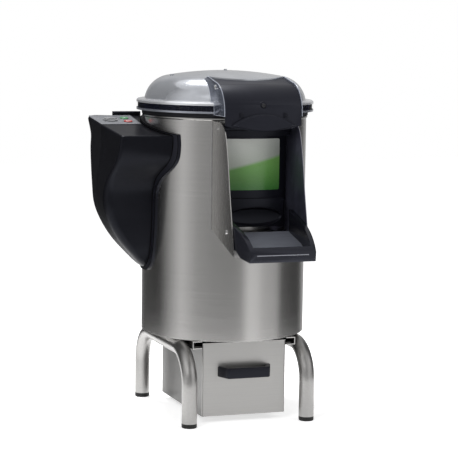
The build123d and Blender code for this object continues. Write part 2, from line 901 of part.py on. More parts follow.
def visor_hem():
    """Cutter under the arched lower edge of the visor's face."""
    side = visor_half + past
    arch = ThreePointArc(
        (-side, visor_lip_side_z), (0, visor_lip[1]), (side, visor_lip_side_z)
    )
    below = Polyline(
        (side, visor_lip_side_z), (side, door_low_z), (-side, door_low_z), (-side, visor_lip_side_z)
    )
    return front_slab(make_face(arch + below), -drum_radius, outside_y)


def make_visor():
    """Black cover over the chute's mouth, with a thumb lip to lift the lid by."""
    outer = visor_edges(cover_drop, 0.0)
    inner = visor_edges(cover_drop + visor_wall, visor_wall)
    ends = [Line(outer[0] @ 0, inner[0] @ 0), Line(outer[2] @ 1, inner[2] @ 1)]
    cover = side_slab(make_face(outer + inner + ends), -visor_half, visor_half)
    cover += thumb_lip()
    y, z = cheek_screw
    for side in (-1, 1):
        near, far = between(side, visor_half - cheek_boss, visor_half)
        cover += block(near, far, y - cheek_boss_half, y + cheek_boss_half,
                       z - cheek_boss_half, visor_shoulder[1] - cover_drop - past)
    cover += along_y(face_boss_radius, face_screw_y, face_screw_y + face_boss_depth, 0, face_screw_z)
    cover -= visor_hem()
    cover -= along_y(face_screw_recess, outside_y, face_screw_y, 0.0, face_screw_z)
    cover -= along_y(screw_shank_radius, outside_y, face_screw_y + face_screw_length, 0, face_screw_z)
    cover -= along_x(screw_shank_radius, -visor_half, -visor_half + cheek_boss - past, y, z)
    cover -= along_x(screw_shank_radius, visor_half - cheek_boss + past, visor_half, y, z)
    return cover - disc(visor_back_radius, 0.0, crown_z) - dome_body(dome_clearance)


def make_cheek(side):
    """Clear side wall between the dome and the visor; side is -1 or 1."""
    top, brow, face = visor_edges(0.0, -cheek_proud)
    rear = Polyline(
        face @ 1, (visor_heel[0], cheek_low_z - past), visor_heel, visor_top,
    )
    near, far = between(side, cheek_inner, cheek_inner + cheek_thickness)
    cheek = side_slab(make_face([top, brow, face, rear]), near, far)
    cheek -= block(near - past, far + past, outside_y, visor_heel[0], door_low_z, cheek_low_z)
    cheek -= along_x(screw_shank_radius, near - past, far + past, *cheek_screw)
    return cheek - dome_body(dome_clearance)


def make_visor_screws():
    """Side screws through the cheeks and one through the visor's face."""
    screws = []
    length = cheek_thickness + cheek_gap + cheek_boss - past
    for side in (-1, 1):
        seat = Pos(side * (cheek_inner + cheek_thickness), *cheek_screw) * Rot(0, 90 * side, 0)
        screws.append(seat * pan_screw(length))
    seat = Pos(0, face_screw_y, face_screw_z) * Rot(90, 0, 0)
    screws.append(seat * pan_screw(face_screw_length))
    return Compound(screws)


def make_switch_magnet():
    """Magnet on the inside of the right cheek that the reed switch looks for."""
    width, depth, height = magnet_size
    return block(cheek_inner - width, cheek_inner, magnet_front_y, magnet_front_y + depth,
                 magnet_low_z, magnet_low_z + height)


def make_safety_switch():
    """Reed switch on the right chute plate, under the visor."""
    width, depth, height = switch_size
    inner = plate_half - plate_thickness
    return block(inner - width, inner, switch_front_y, switch_front_y + depth,
                 switch_low_z, switch_low_z + height)


def make_lid_strap():
    """Bent strap from the lid's ledge to the hinge pin."""
    half = knuckle_half
    web_near, web_far = [rim_radius + gap for gap in strap_web]
    eye_low, eye_high = strap_eye
    toe_y = dome_foot_radius + strap_toe
    strap = block(-half, half, toe_y, web_far, ledge_z, ledge_z + strap_thickness)
    strap += block(-half, half, web_near, web_far, hinge_z, ledge_z + strap_thickness)
    strap += block(-half, half, web_near, hinge_y, hinge_z + eye_low, hinge_z + eye_high)
    strap += along_x(knuckle_radius, -half, half, hinge_y, hinge_z)
    bore = hinge_pin_radius + hinge_bore_clearance
    return strap - along_x(bore, -half - past, half + past, hinge_y, hinge_z)


def ear_face():
    """Side view of a hinge ear, from the drum's back out to the pin."""
    low, step, nose = [hinge_z - drop for drop in ear_drop]
    root = drum_radius + ear_root_gap
    clear = rim_radius + ear_rim_gap
    back = hinge_y + knuckle_radius
    return outline(
        (root, low), (bracket_back_y, low), (back, nose), (back, hinge_z),
        (clear, hinge_z), (clear, step), (root, step),
    )


def make_hinge_bracket():
    """Two ears on a saddle screwed to the back of the drum."""
    low, high = [hinge_z - drop for drop in bracket_drop]
    bracket = block(-ear_half, ear_half, -inside_y, bracket_back_y, low, high)
    for side in (-1, 1):
        near, far = between(side, knuckle_half + knuckle_gap, ear_half)
        bracket += side_slab(ear_face(), near, far)
        bracket += along_x(knuckle_radius, near, far, hinge_y, hinge_z)
    bracket -= disc(drum_radius, 0.0, crown_z)
    return bracket - along_x(hinge_pin_radius, -ear_half - past, ear_half + past, hinge_y, hinge_z)


# ---- control housing --------------------------------------------------------
def housing_section(section, margin):
    """One horizontal section: open side inside the drum, a faint crease down the outer face."""
    z, at_drum, outside, out, step, rear_round, front_round = section
    x = -drum_radius - out - margin
    half = outside + margin
    root = at_drum + margin
    face = outline(
        (-housing_root, -root), (x + step, -half), (x + step * crease_step_share, half * crease_place),
        (x, half), (-housing_root, root),
    )
    for corner, radius in (((x, half), rear_round), ((x + step, -half), front_round)):
        vertex = face.vertices().sort_by_distance(corner)[0]
        face = fillet(vertex, radius + margin * margin_lean)
    return Pos(0, 0, z - margin * margin_lean) * face


def housing_form(margin):
    """Smooth body through the sections, grown or shrunk by a margin."""
    return loft([housing_section(section, margin) for section in housing_sections_out])


def top_plane(lift):
    """Plane of the sloping top, raised by a lift along its normal."""
    slope = math.radians(top_slope)
    normal = (0, -math.sin(slope), math.cos(slope))
    return Plane(origin=(0, 0, top_z), x_dir=(1, 0, 0), z_dir=normal).offset(lift)


def on_top(face, place, low, high):
    """A face drawn at a place of the sloping top, drawn out between two lifts."""
    return extrude(top_plane(low) * Pos(*place) * face, high - low)


def above_top(lift):
    """Everything above the sloping top, raised by a lift."""
    cover = Rectangle(2 * drum_radius, 2 * drum_radius)
    return on_top(cover, (-drum_radius, 0.0), lift, lift + drum_radius)


def control_holes():
    """Cutters for the buttons and for the dial's spindle."""
    deep = -dial_spindle_depth
    holes = on_top(Circle(dial_spindle_radius + button_gap), dial_place, deep, -deep)
    for place in (start_place, stop_place):
        holes += on_top(Circle(button_radius + button_gap), place, deep, -deep)
    return holes


def make_control_housing():
    """Moulded shell: wide head, S-curved waist, keel that runs out on the drum."""
    shell = housing_form(0.0) - above_top(0.0)
    rim = shell.faces().sort_by(Axis.Z)[-1].edges().filter_by(lambda e: e.center().X < -drum_radius)
    shell = fillet(rim.sort_by(Axis.Y)[:2], housing_top_round)
    shell += block(*ridge_x, *ridge_y, top_z, bead_z + ridge_height) & (
        above_top(-housing_wall) - above_top(ridge_height)
    )
    shell -= housing_form(-housing_wall) - above_top(-housing_wall)
    shell -= disc(saddle_radius, 0.0, crown_z)
    return shell - control_holes()


def make_saddle():
    """Frame that seals the housing to the drum."""
    frame = ring(drum_radius, saddle_radius, drum_base_z, bead_z - past)
    frame &= housing_form(saddle_margin)
    frame -= above_top(saddle_rise)
    inner = housing_form(-2 * housing_wall) - above_top(-2 * housing_wall)
    return frame - inner


def make_panel():
    """Thin control plate on the rear of the sloping top, cut to the housing's outline."""
    near, far = panel_out
    front, back = panel_span
    place = off_drum(((near + far) / 2, (front + back) / 2))
    plate = on_top(Rectangle(far - near, back - front), place, 0.0, panel_thickness)
    return (plate & housing_form(-panel_inset)) - control_holes()


def make_button(place):
    """Round push button with a crowned face and a collar that keeps it in."""
    high = panel_thickness + button_proud
    low = high - button_height
    collar_radius, collar_height = button_collar
    body = on_top(Circle(button_radius), place, low, high)
    body = fillet(body.edges().sort_by(Axis.Z)[-1], button_round)
    return body + on_top(Circle(collar_radius), place, low, low + collar_height)


def make_dial():
    """Low timer dial with a grip bar and a spindle through the panel."""
    seat = panel_thickness + button_gap
    body = on_top(Circle(dial_radius), dial_place, seat, seat + dial_plate_height)
    body += on_top(SlotOverall(*dial_bar), dial_place, seat, seat + dial_height)
    return body + on_top(Circle(dial_spindle_radius), dial_place, -dial_spindle_depth, seat)


def make_contactor():
    """Motor contactor with its terminal blocks, seated on the drum."""
    low, high = contactor_z
    width, depth, height = terminal_notch
    body = block(-contactor_reach, inside_y, -contactor_half, contactor_half, low, high)
    for y in (-terminal_pitch, 0.0, terminal_pitch):
        body -= block(-contactor_reach - past, -contactor_reach + depth,
                      y - width / 2, y + width / 2, high - height, high + past)
    return body - disc(drum_radius, 0.0, crown_z)


def make_control_board():
    """Board hung under the sloping top, with switch blocks and the timer's bearing."""
    back = board_lift - board_thickness
    board = on_top(Rectangle(*board_size), board_place, back, board_lift)
    for x in (-board_post[0], board_post[0]):
        for y in (-board_post[1], board_post[1]):
            place = (board_place[0] + x, board_place[1] + y)
            board += on_top(Circle(board_post_radius), place, board_lift, -housing_wall)
    for place in (start_place, stop_place):
        block_face = Rectangle(switch_block, switch_block)
        board += on_top(block_face, place, board_lift, switch_block_lift)
    board += on_top(Rectangle(timer_block, timer_block), dial_place, board_lift, timer_block_lift)
    bore = Circle(dial_spindle_radius + spindle_clearance)
    return board - on_top(bore, dial_place, -dial_spindle_depth - past, 0.0)


# ---- base and stand ---------------------------------------------------------
def base_bolt_places():
    """Bolt axes: two on the top run of each hoop."""
    return [(x, y) for x in (-hoop_x, hoop_x) for y in (-base_bolt_y, base_bolt_y)]


def make_base_plate():
    """Round plate under the drum, carried by the two hoops."""
    low = base_low_z - past
    high = drum_base_z + past
    plate = disc(base_plate_radius, base_low_z, drum_base_z)
    plate -= disc(spout_radius + spout_clearance, low, high, 0, spout_y)
    plate -= disc(gland_thread_radius, low, high, gland_x, gland_y)
    for x, y in base_bolt_places():
        plate -= disc(base_bolt_radius, low, high, x, y)
    return plate


def make_hoop(x):
    """Bent stainless tube, legs front and back."""
    y0 = hoop_centre_y - hoop_half_span
    y1 = hoop_centre_y + hoop_half_span
    path = FilletPolyline(
        (x, y0, foot_height), (x, y0, hoop_top_z), (x, y1, hoop_top_z), (x, y1, foot_height),
        radius=hoop_bend,
    )
    end = Plane(origin=path @ 0, z_dir=path % 0)
    tube = sweep(end * Circle(tube_radius), path=path)
    tube -= sweep(end * Circle(tube_radius - tube_wall), path=path)
    for y in (-base_bolt_y, base_bolt_y):
        tube -= disc(base_bolt_radius, hoop_top_z, drum_base_z, x, y)
    return tube


def make_feet():
    """Plastic plugs pressed into the four tube ends."""
    plugs = []
    for x in (-hoop_x, hoop_x):
        for y in (hoop_centre_y - hoop_half_span, hoop_centre_y + hoop_half_span):
            plug = disc(tube_radius, 0.0, foot_height, x, y)
            plug = chamfer(plug.edges().group_by(Axis.Z)[0], foot_chamfer)
            plug += disc(tube_radius - tube_wall, foot_height, foot_insert, x, y)
            plugs.append(plug)
    return Compound(plugs)


def make_base_bolts():
    """Bolts from inside the drum through the base plate into the hoops' top runs."""
    head_top = drum_base_z + base_head_height
    bolts = []
    for x, y in base_bolt_places():
        bolt = disc(base_bolt_radius, base_low_z - base_bolt_length, head_top, x, y)
        bolts.append(bolt + hexagon(base_head_radius, drum_base_z, head_top, x, y))
    return Compound(bolts)


# ---- waste drawer -----------------------------------------------------------
def make_rail(side):
    """Channel rail under the base plate; side is -1 or 1."""
    t = rail_thickness
    inner = drawer_half + rail_gap
    rail = block(inner, rail_half, drawer_front_y, drawer_back_y, rail_low_z, base_low_z)
    rail -= block(
        inner - past, rail_half - t, drawer_front_y - past, drawer_back_y - t,
        rail_low_z + t, base_low_z - t,
    )
    return rail if side > 0 else mirror(rail, about=Plane.YZ)


def handle_screw_z():
    """Height of the handle's screws."""
    return handle_low_z + handle_height / 2


def make_drawer():
    """Deep sheet box with a runner along each side."""
    w = drawer_wall
    box = block(
        -drawer_half, drawer_half, drawer_front_y, drawer_back_y, drawer_low_z, drawer_high_z
    )
    hollow = block(
        -drawer_half + w, drawer_half - w, drawer_front_y + w, drawer_back_y - w,
        drawer_low_z + w, drawer_high_z + past,
    )
    box = fillet(box.edges().filter_by(Axis.Z), drawer_corner)
    box -= fillet(hollow.edges().filter_by(Axis.Z), drawer_corner - w)
    for side in (-1, 1):
        near, far = between(side, drawer_half - w / 2, runner_reach)
        box += block(near, far, drawer_front_y + runner_inset, drawer_back_y - runner_inset,
                     runner_z, runner_z + runner_thickness)
        box -= along_y(screw_shank_radius, drawer_front_y - past, drawer_front_y + w + past,
                       side * handle_screw_x, handle_screw_z())
    return box - along_y(outlet_pipe_radius, drawer_back_y - w - past, drawer_back_y + past,
                         0, outlet_pipe_z)


def make_drawer_outlet():
    """Hose tail at the back of the drawer, for the waste water."""
    start = drawer_back_y - drawer_wall
    end = drawer_back_y + outlet_pipe_length
    pipe = along_y(outlet_pipe_radius, start, end, 0, outlet_pipe_z)
    pipe += along_y(outlet_pipe_radius + outlet_collar, drawer_back_y,
                    drawer_back_y + outlet_collar_thickness, 0, outlet_pipe_z)
    bore = outlet_pipe_radius - outlet_pipe_wall
    return pipe - along_y(bore, start - past, end + past, 0, outlet_pipe_z)


def make_basket():
    """Perforated strainer that hangs by its rim on the drawer's edge."""
    w = basket_wall
    half = drawer_half - drawer_wall - basket_gap
    y0 = drawer_front_y + drawer_wall + basket_gap
    y1 = drawer_back_y - drawer_wall - basket_gap
    top = drawer_high_z + w
    box = block(-half, half, y0, y1, basket_floor_z, top)
    box += block(
        -drawer_half + basket_rim_gap, drawer_half - basket_rim_gap,
        drawer_front_y + basket_rim_gap, drawer_back_y - basket_rim_gap, drawer_high_z, top,
    )
    box -= block(-half + w, half - w, y0 + w, y1 - w, basket_floor_z + w, top + past)
    pitch_x = 2 * half / slot_rows
    pitch_y = (y1 - y0) / slot_columns
    slot = Box(pitch_x * slot_fill[0], pitch_y * slot_fill[1], 4 * w)
    middle = Pos(0, (y0 + y1) / 2, basket_floor_z)
    slots = GridLocations(pitch_x, pitch_y, slot_rows, slot_columns)
    return box - [middle * place * slot for place in slots.locations]


def make_drawer_handle():
    """Bridge pull with splayed arms."""
    y = drawer_front_y
    bar_back = y - handle_reach + handle_bar
    inner_bar = handle_bar_half - handle_arm * handle_arm_lean
    plan = outline(
        (-handle_foot_half, y), (-handle_bar_half, y - handle_reach),
        (handle_bar_half, y - handle_reach), (handle_foot_half, y),
        (handle_foot_half - handle_arm, y), (inner_bar, bar_back),
        (-inner_bar, bar_back), (-handle_foot_half + handle_arm, y),
    )
    plan = fillet(plan.vertices().group_by(Axis.Y)[0], handle_round)
    inner_corners = plan.vertices().filter_by(lambda v: abs(v.Y - bar_back) < past)
    plan = fillet(inner_corners, handle_inner_round)
    pull = extrude(Pos(0, 0, handle_low_z) * plan, handle_height, dir=(0, 0, 1))
    rims = pull.edges().group_by(Axis.Z)
    pull = chamfer(rims[0] + rims[-1], handle_chamfer)
    for x in (-handle_screw_x, handle_screw_x):
        pull -= along_y(screw_shank_radius, y - handle_screw_depth, y, x, handle_screw_z())
    return pull


def make_handle_screws():
    """Screws from inside the drawer into the pull's arms."""
    screws = []
    for x in (-handle_screw_x, handle_screw_x):
        seat = Pos(x, drawer_front_y + drawer_wall, handle_screw_z()) * Rot(-90, 0, 0)
        screws.append(seat * pan_screw(drawer_wall + handle_screw_depth))
    return Compound(screws)


# ---- drive ------------------------------------------------------------------
def hub_bolt_places():
    """Bolt axes of the bearing housing's foot."""
    return [(-hub_bolt_radius, 0.0), (hub_bolt_radius, 0.0), (0.0, -hub_bolt_radius)]


def motor_bolt_places():
    """Bolt axes of the motor's flange."""
    offset = (motor_radius - motor_bolt_inset) / math.sqrt(2)
    return [(x, motor_y + y) for x in (-offset, offset) for y in (-offset, offset)]


def bolt_holes(places):
    """Cutters for bolts that come up through the bridge plate."""
    high = bracket_z + mount_bolt_length
    return [disc(mount_bolt_radius, bracket_z - past, high, x, y) for x, y in places]


def make_bracket():
    """Bridge plate over the belt, folded down to the base plate on both sides."""
    y0 = bracket_front_y
    y1 = motor_y + bracket_past_motor
    t = bracket_thickness
    bracket = block(-bracket_half, bracket_half, y0, y1, drum_base_z, bracket_top_z)
    bracket -= block(-bracket_half + t, bracket_half - t, y0 - past, y1 + past,
                     drum_base_z - past, bracket_z)
    bracket &= disc(drum_inner - drum_foot_flange - past, 0.0, crown_z)
    bracket -= disc(shaft_radius + bracket_hole_gap, drum_base_z, motor_high_z)
    bracket -= disc(rotor_radius + bracket_hole_gap, drum_base_z, motor_high_z, 0, motor_y)
    return bracket - bolt_holes(hub_bolt_places() + motor_bolt_places())


def make_bearing_housing():
    """Tall hub with a flanged foot, bored for two bearings and a seal."""
    low = bracket_top_z
    foot_top = low + hub_foot_height
    hub = disc(hub_foot_radius, low, foot_top)
    hub -= block(-hub_foot_radius, hub_foot_radius, hub_foot_flat_y, hub_foot_radius + past,
                 low - past, foot_top + past)
    hub += disc(hub_radius, low, hub_top_z)
    hub -= disc(hub_bore, low - past, hub_top_z + past)
    hub -= disc(bearing_radius, low - past, low + bearing_height)
    hub -= disc(bearing_radius, bearing_high_z, hub_top_z + past)
    return hub - bolt_holes(hub_bolt_places())


def make_bearings():
    """Two equal ball bearings, one above the other."""
    inner = shaft_radius + bearing_clearance
    width, depth = bearing_groove
    pair = []
    for low in (bracket_top_z, bearing_high_z):
        high = low + bearing_height
        bearing = ring(inner, bearing_radius, low, high)
        pair.append(bearing - ring(inner + width, bearing_radius - width, high - depth, high + past))
    return Compound(pair)


def make_shaft_seal():
    """Lip seal at the top of the hub."""
    low = hub_top_z - past - shaft_seal_height
    return ring(shaft_radius + shaft_seal_clearance, bearing_radius, low, hub_top_z - past)


def make_motor():
    """Upright flanged motor with cooling fins."""
    low = bracket_top_z
    body = disc(motor_radius - fin_depth, motor_body_low_z, motor_high_z, 0, motor_y)
    rib = block(motor_radius - 2 * fin_depth, motor_radius + past, -fin_thickness / 2,
                fin_thickness / 2, motor_body_low_z, motor_high_z - fin_margin)
    body += [Pos(0, motor_y) * turn * rib for turn in PolarLocations(0, fin_count).locations]
    body &= disc(motor_radius, motor_body_low_z, motor_high_z, 0, motor_y)
    body += disc(motor_radius, low, low + motor_flange, 0, motor_y)
    bore = rotor_radius + rotor_clearance
    body -= disc(bore, low - past, low + rotor_depth, 0, motor_y)
    return body - bolt_holes(motor_bolt_places())


def make_mount_bolts():
    """Bolts through the bridge plate into the motor's flange and the hub's foot."""
    bolts = []
    for x, y in hub_bolt_places() + motor_bolt_places():
        bolt = hexagon(mount_head_radius, bracket_z - mount_head_height, bracket_z, x, y)
        bolts.append(bolt + disc(mount_bolt_radius, bracket_z, bracket_z + mount_bolt_length, x, y))
    return Compound(bolts)


def make_main_shaft():
    """Stepped shaft from the driven pulley up to the disc."""
    shaft = disc(shaft_radius, shaft_low_z, disc_top_z)
    shaft += disc(spigot_radius, disc_top_z, disc_top_z + spigot_height)
    return chamfer(shaft.edges().group_by(Axis.Z)[-1], shaft_chamfer)


def make_pulley(radius, bore, y):
    """Belt pulley with two flanges."""
    low = belt_z - pulley_flange_thickness
    high = belt_z + belt_width + pulley_flange_thickness
    wheel = disc(radius + pulley_flange, low, high, 0, y)
    wheel -= ring(radius, radius + pulley_flange + past, belt_z, belt_z + belt_width, 0, y)
    return wheel - disc(bore, low - past, high + past, 0, y)


def belt_loop(extra):
    """Solid inside a line that runs round both pulleys at a distance."""
    wheels = (Sketch() + Circle(driven_pulley_radius + extra)).edges()
    wheels += (Pos(0, motor_y) * Circle(motor_pulley_radius + extra)).edges()
    return extrude(Pos(0, 0, belt_z + past) * make_hull(wheels), belt_width - 2 * past)


def make_belt():
    """Flat belt round both pulleys."""
    return belt_loop(belt_clearance + belt_thickness) - belt_loop(belt_clearance)


def make_rotor():
    """Motor shaft that carries the small pulley."""
    low = belt_z - pulley_flange_thickness
    return disc(rotor_radius, low, bracket_top_z + rotor_depth - past, 0, motor_y)


def make_peeling_disc():
    """Turning disc with raised waves on top and sweepers underneath."""
    plate = disc(disc_radius, disc_z, disc_top_z)
    plate = fillet(plate.edges().group_by(Axis.Z)[-1], disc_round)
    wave = along_x(wave_radius, wave_start * disc_radius, wave_end * disc_radius,
                   0.0, disc_top_z + wave_height - wave_radius)
    wave -= disc(disc_radius, 0.0, disc_z + disc_round)
    plate += [turn * wave for turn in PolarLocations(0, wave_count).locations]
    plate += disc(disc_boss_radius, disc_z, disc_top_z + disc_boss_height)
    plate += disc(disc_skirt_radius, disc_z - disc_skirt_height, disc_z)
    half = sweeper_thickness / 2
    blade = block(sweeper_start, disc_radius - 2 * disc_round, -half, half,
                  floor_z + floor_thickness + sweeper_gap, disc_z)
    plate += [turn * blade for turn in PolarLocations(0, sweeper_count).locations]
    plate -= disc(shaft_radius, floor_z, disc_top_z)
    return plate - disc(spigot_radius, disc_z, crown_z)


def make_spout():
    """Tube that drops water and peel from the chamber's floor into the drawer."""
    return ring(spout_radius - spout_wall, spout_radius, spout_low_z, floor_z, 0, spout_y)


# ---- fittings ---------------------------------------------------------------
def hexagon_along_y(radius, y0, y1, z):
    """Hexagonal nut on a line along Y."""
    return Pos(0, y0, z) * Rot(-90, 0, 0) * extrude(RegularPolygon(radius, 6), y1 - y0)


def make_water_inlet():
    """Threaded inlet through the back of the drum, with a fan nozzle inside."""
    seat = drum_radius + inlet_washer_reach
    end = seat + inlet_nut_height + inlet_thread_length
    neck = drum_inner - nozzle_neck
    slot_height, slot_depth = nozzle_slot
    body = along_y(inlet_washer_radius, -inside_y, seat, 0, inlet_z) - disc(
        drum_radius, drum_base_z, drum_top_z
    )
    body += hexagon_along_y(inlet_washer_radius, seat, seat + inlet_nut_height, inlet_z)
    body += along_y(inlet_thread_radius, neck, end, 0, inlet_z)
    body += along_y(nozzle_radius, neck - nozzle_length, neck, 0, inlet_z)
    body -= block(-nozzle_radius, nozzle_radius, 0.0, neck - nozzle_length + slot_depth,
                  inlet_z - slot_height / 2, inlet_z + slot_height / 2)
    return body - along_y(inlet_bore_radius, neck - nozzle_neck, end + past, 0, inlet_z)


def make_cable_gland():
    """Compression gland for the supply cable, behind the drawer and beside its hose tail."""
    end = base_low_z - gland_reach
    top = drum_base_z + gland_inside
    body = disc(gland_thread_radius, base_low_z, top)
    body += hexagon(gland_nut_radius, base_low_z - gland_nut_height, base_low_z)
    body += disc(gland_radius, end, base_low_z)
    return Pos(gland_x, gland_y, 0) * (body - disc(gland_bore_radius, end - past, top + past))


def save_chamber():
    save(
        drum_shell=make_drum_shell(),
        drum_rim_seal=make_rim_seal(),
        chamber_floor=make_chamber_floor(),
        abrasive_liner=make_liner(),
        peeling_disc=make_peeling_disc(),
        waste_spout=make_spout(),
        water_inlet=make_water_inlet(),
        cable_gland=make_cable_gland(),
    )


def save_front():
    pin_half = plate_half + door_pin_end
    save(
        chute_plate_left=make_chute_plate(-1),
        chute_plate_right=make_chute_plate(1),
        chute_pan=make_chute_pan(),
        discharge_tray=make_tray(),
        tray_floor=make_tray_floor(),
        tray_screws=make_tray_screws(),
        door_panel=make_door(),
        door_label=make_door_label(),
        door_seal=make_door_seal(),
        door_pin=along_x(door_pin_radius, -pin_half, pin_half, door_pin_y, door_pin_z),
    )


def save_lid():
    pin_half = ear_half + hinge_pin_end
    save(
        lid_dome=make_lid_dome(),
        lid_seal=make_lid_seal(),
        visor_cover=make_visor(),
        visor_cheek_left=make_cheek(-1),
        visor_cheek_right=make_cheek(1),
        visor_screws=make_visor_screws(),
        lid_strap=make_lid_strap(),
        hinge_bracket=make_hinge_bracket(),
        hinge_pin=along_x(hinge_pin_radius, -pin_half, pin_half, hinge_y, hinge_z),
        safety_switch=make_safety_switch(),
        switch_magnet=make_switch_magnet(),
    )


def save_controls():
    save(
        control_housing=make_control_housing(),
        housing_saddle=make_saddle(),
        control_panel=make_panel(),
        start_button=make_button(start_place),
        stop_button=make_button(stop_place),
        timer_dial=make_dial(),
        contactor=make_contactor(),
        control_board=make_control_board(),
    )


def save_stand():
    save(
        base_plate=make_base_plate(),
        stand_hoop_left=make_hoop(-hoop_x),
        stand_hoop_right=make_hoop(hoop_x),
        stand_feet=make_feet(),
        base_bolts=make_base_bolts(),
        drawer_rail_left=make_rail(-1),
        drawer_rail_right=make_rail(1),
        drawer_box=make_drawer(),
        drawer_outlet=make_drawer_outlet(),
        strainer_basket=make_basket(),
        drawer_handle=make_drawer_handle(),
        handle_screws=make_handle_screws(),
    )


def save_drive():
    save(
        drive_bracket=make_bracket(),
        bearing_housing=make_bearing_housing(),
        shaft_bearings=make_bearings(),
        shaft_seal=make_shaft_seal(),
        motor_body=make_motor(),
        mount_bolts=make_mount_bolts(),
        motor_shaft=make_rotor(),
        motor_pulley=make_pulley(motor_pulley_radius, rotor_radius, motor_y),
        drive_belt=make_belt(),
        driven_pulley=make_pulley(driven_pulley_radius, shaft_radius, 0.0),
        main_shaft=make_main_shaft(),
    )


os.makedirs("parts", exist_ok=True)
save_chamber()
save_front()
save_lid()
save_controls()
save_stand()
save_drive()
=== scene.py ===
import json
import math

import bmesh
import bpy
from mathutils import Matrix, Vector


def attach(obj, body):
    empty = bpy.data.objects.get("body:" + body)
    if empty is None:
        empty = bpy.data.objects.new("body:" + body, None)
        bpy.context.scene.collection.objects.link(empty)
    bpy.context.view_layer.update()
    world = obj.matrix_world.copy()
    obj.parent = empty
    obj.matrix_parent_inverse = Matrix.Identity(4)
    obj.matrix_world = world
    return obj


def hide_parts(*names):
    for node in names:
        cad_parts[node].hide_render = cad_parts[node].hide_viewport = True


# Looks of the potato peeler. Metres, in the frame of the solids: +Z up, chute towards -Y,
# control housing on -X, origin on the floor on the drum's axis.

# ---- places taken over from the solids --------------------------------------
DRUM_RADIUS = 0.190
PLATE_HALF = 0.089
PLATE_OUTSIDE = (0.0880, 0.0885)  # x over which the right plate's finish turns into its outside's
CHUTE_TOP = 0.6895
CHUTE_SILL = 0.447
WINDOW_LOW = (0.7100, 0.7112)  # heights over which the clear band of the lid's skirt fades in
WINDOW_HIGH = (0.7228, 0.7246)  # and out
SKIRT_HIGH = (0.7234, 0.7240)
PAINTED_LEDGE_HIGHLIGHT_TOP = (0.7318, 0.7334)  # top of the ledge above the skirt, over which its painted highlight fades into the smoke
GRIP_Z = 0.477
GRIP_SIZE = (0.076, 0.022)  # half length and half height of the finger hollow
GRIP_TAPER = (0.18, 0.28)  # shares by which these shrink over its depth
GRIP_DEPTH = 0.014
GRIP_FRONT = 0.2165  # where its taper begins, in front of the drum's axis
GRIP_ROUNDS = 12  # rounds that settle a place on its edge
STEP_FACE = 0.2155  # radius of the door's curved face round the hollow
DRAWER_FRONT = (-0.1535, -0.1505)  # the drawer's front ends and its sides begin
LABEL_LOW = 0.536
LABEL_HIGH = 0.651
LABEL_SLANT = 2.2  # how fast the line between its colours rises across it
LID_SKIRT = 0.203
SADDLE_RADIUS = 0.196
SCREW_ASIDE = (0.02, 0.03)  # from the visor's middle screw to those at its sides
TRAY_GROOVE = (0.060, -0.3865, 0.4125)  # half length, y, z
SEAL_LOW = 0.7064
SEAL_HIGH = 0.728
TOP_SLOPE = math.radians(9.0)
TOP_Z = 0.671  # height of the housing's sloping top at y = 0; the faces are heights above it
PANEL_FACE = 0.001
DIAL_PLACE = (-0.262, 0.053)
DIAL_RADIUS = 0.017
DIAL_FACE = 0.0058
START_PLACE = (-0.224, 0.070)
STOP_PLACE = (-0.224, 0.036)
BUTTON_FACE = 0.003
BUTTON_RADIUS = 0.010
RIDGE_EDGE = ((-0.2405, 0.1062), (-0.1735, 0.1062), 0.0080)  # two ends (x, y), height above the top

# ---- sizes of the pieces made here ------------------------------------------
SEAM_BEADS = (("control_housing", 0.0012), ("housing_saddle", 0.0007))  # node, radius
SEAM_PITCH = 0.004
CHEEK_BEAD = 0.0007
CHEEK_BEAD_SUNK = 0.0004
GROOVE_BEAD = 0.0014
RIDGE_BEAD = 0.0012
SEAL_INNER = 0.185
SEAL_GAP = 0.0011
SEAL_STEPS = 120
SEAL_SOFT = 0.001
RIB_SIZE = (0.0022, 0.0018, 0.0185)
RIB_SOFT = 0.0004
RIB_COUNT = 216
GRIP_RIM = 0.0012
GRIP_RIM_STEPS = (64, 8)  # round the hollow, round the rim
WELD_RADIUS = 0.0013
WELD_SIDES = 10
WELD_DROP = 0.002  # its start below the chute's sill
WELD_RINGS = 84
WELD_SWELL = (1.25, 0.80)  # each ring against the one below, in turn
CATCH_PLACE = (0.052, -0.2560, 0.7065)
CATCH_SIZE = (0.0090, 0.0014, 0.0110)
CATCH_SOFT = 0.0005
TOOTH_SIZE = (0.0060, 0.0012, 0.0016)
TOOTH_SOFT = 0.0003
TOOTH_PROUD = 0.0008
TOOTH_APART = 0.0025
INK_LIFT = 0.00005
SCALE_FIGURES = 6
SCALE_START = 225.0
SCALE_STEP = 54.0
TICK_SIZE = (0.0026, 0.0006, 0.00016)
TICK_SOFT = 0.00004
TICK_OUT = 0.0024
FIGURE_OUT = 0.0062
FIGURE_SIZE = 0.0046
FIGURE_THICK = 0.00006
RING_OUT = (0.0022, 0.0028)  # inner and outer edge of the ring, beyond the button's radius
RING_SIDES = 48
MARK_LIFT = 0.00004
MARK_SOFT = 0.00005
BAR_SIZE = (0.0014, 0.0088, 0.0002)
CIRCLE_RADII = (0.0038, 0.0050)
CIRCLE_HALF = 0.0001
CIRCLE_SIDES = 40
POINTER_SIZE = (0.0110, 0.0012, 0.0002)
POINTER_OUT = 0.0085

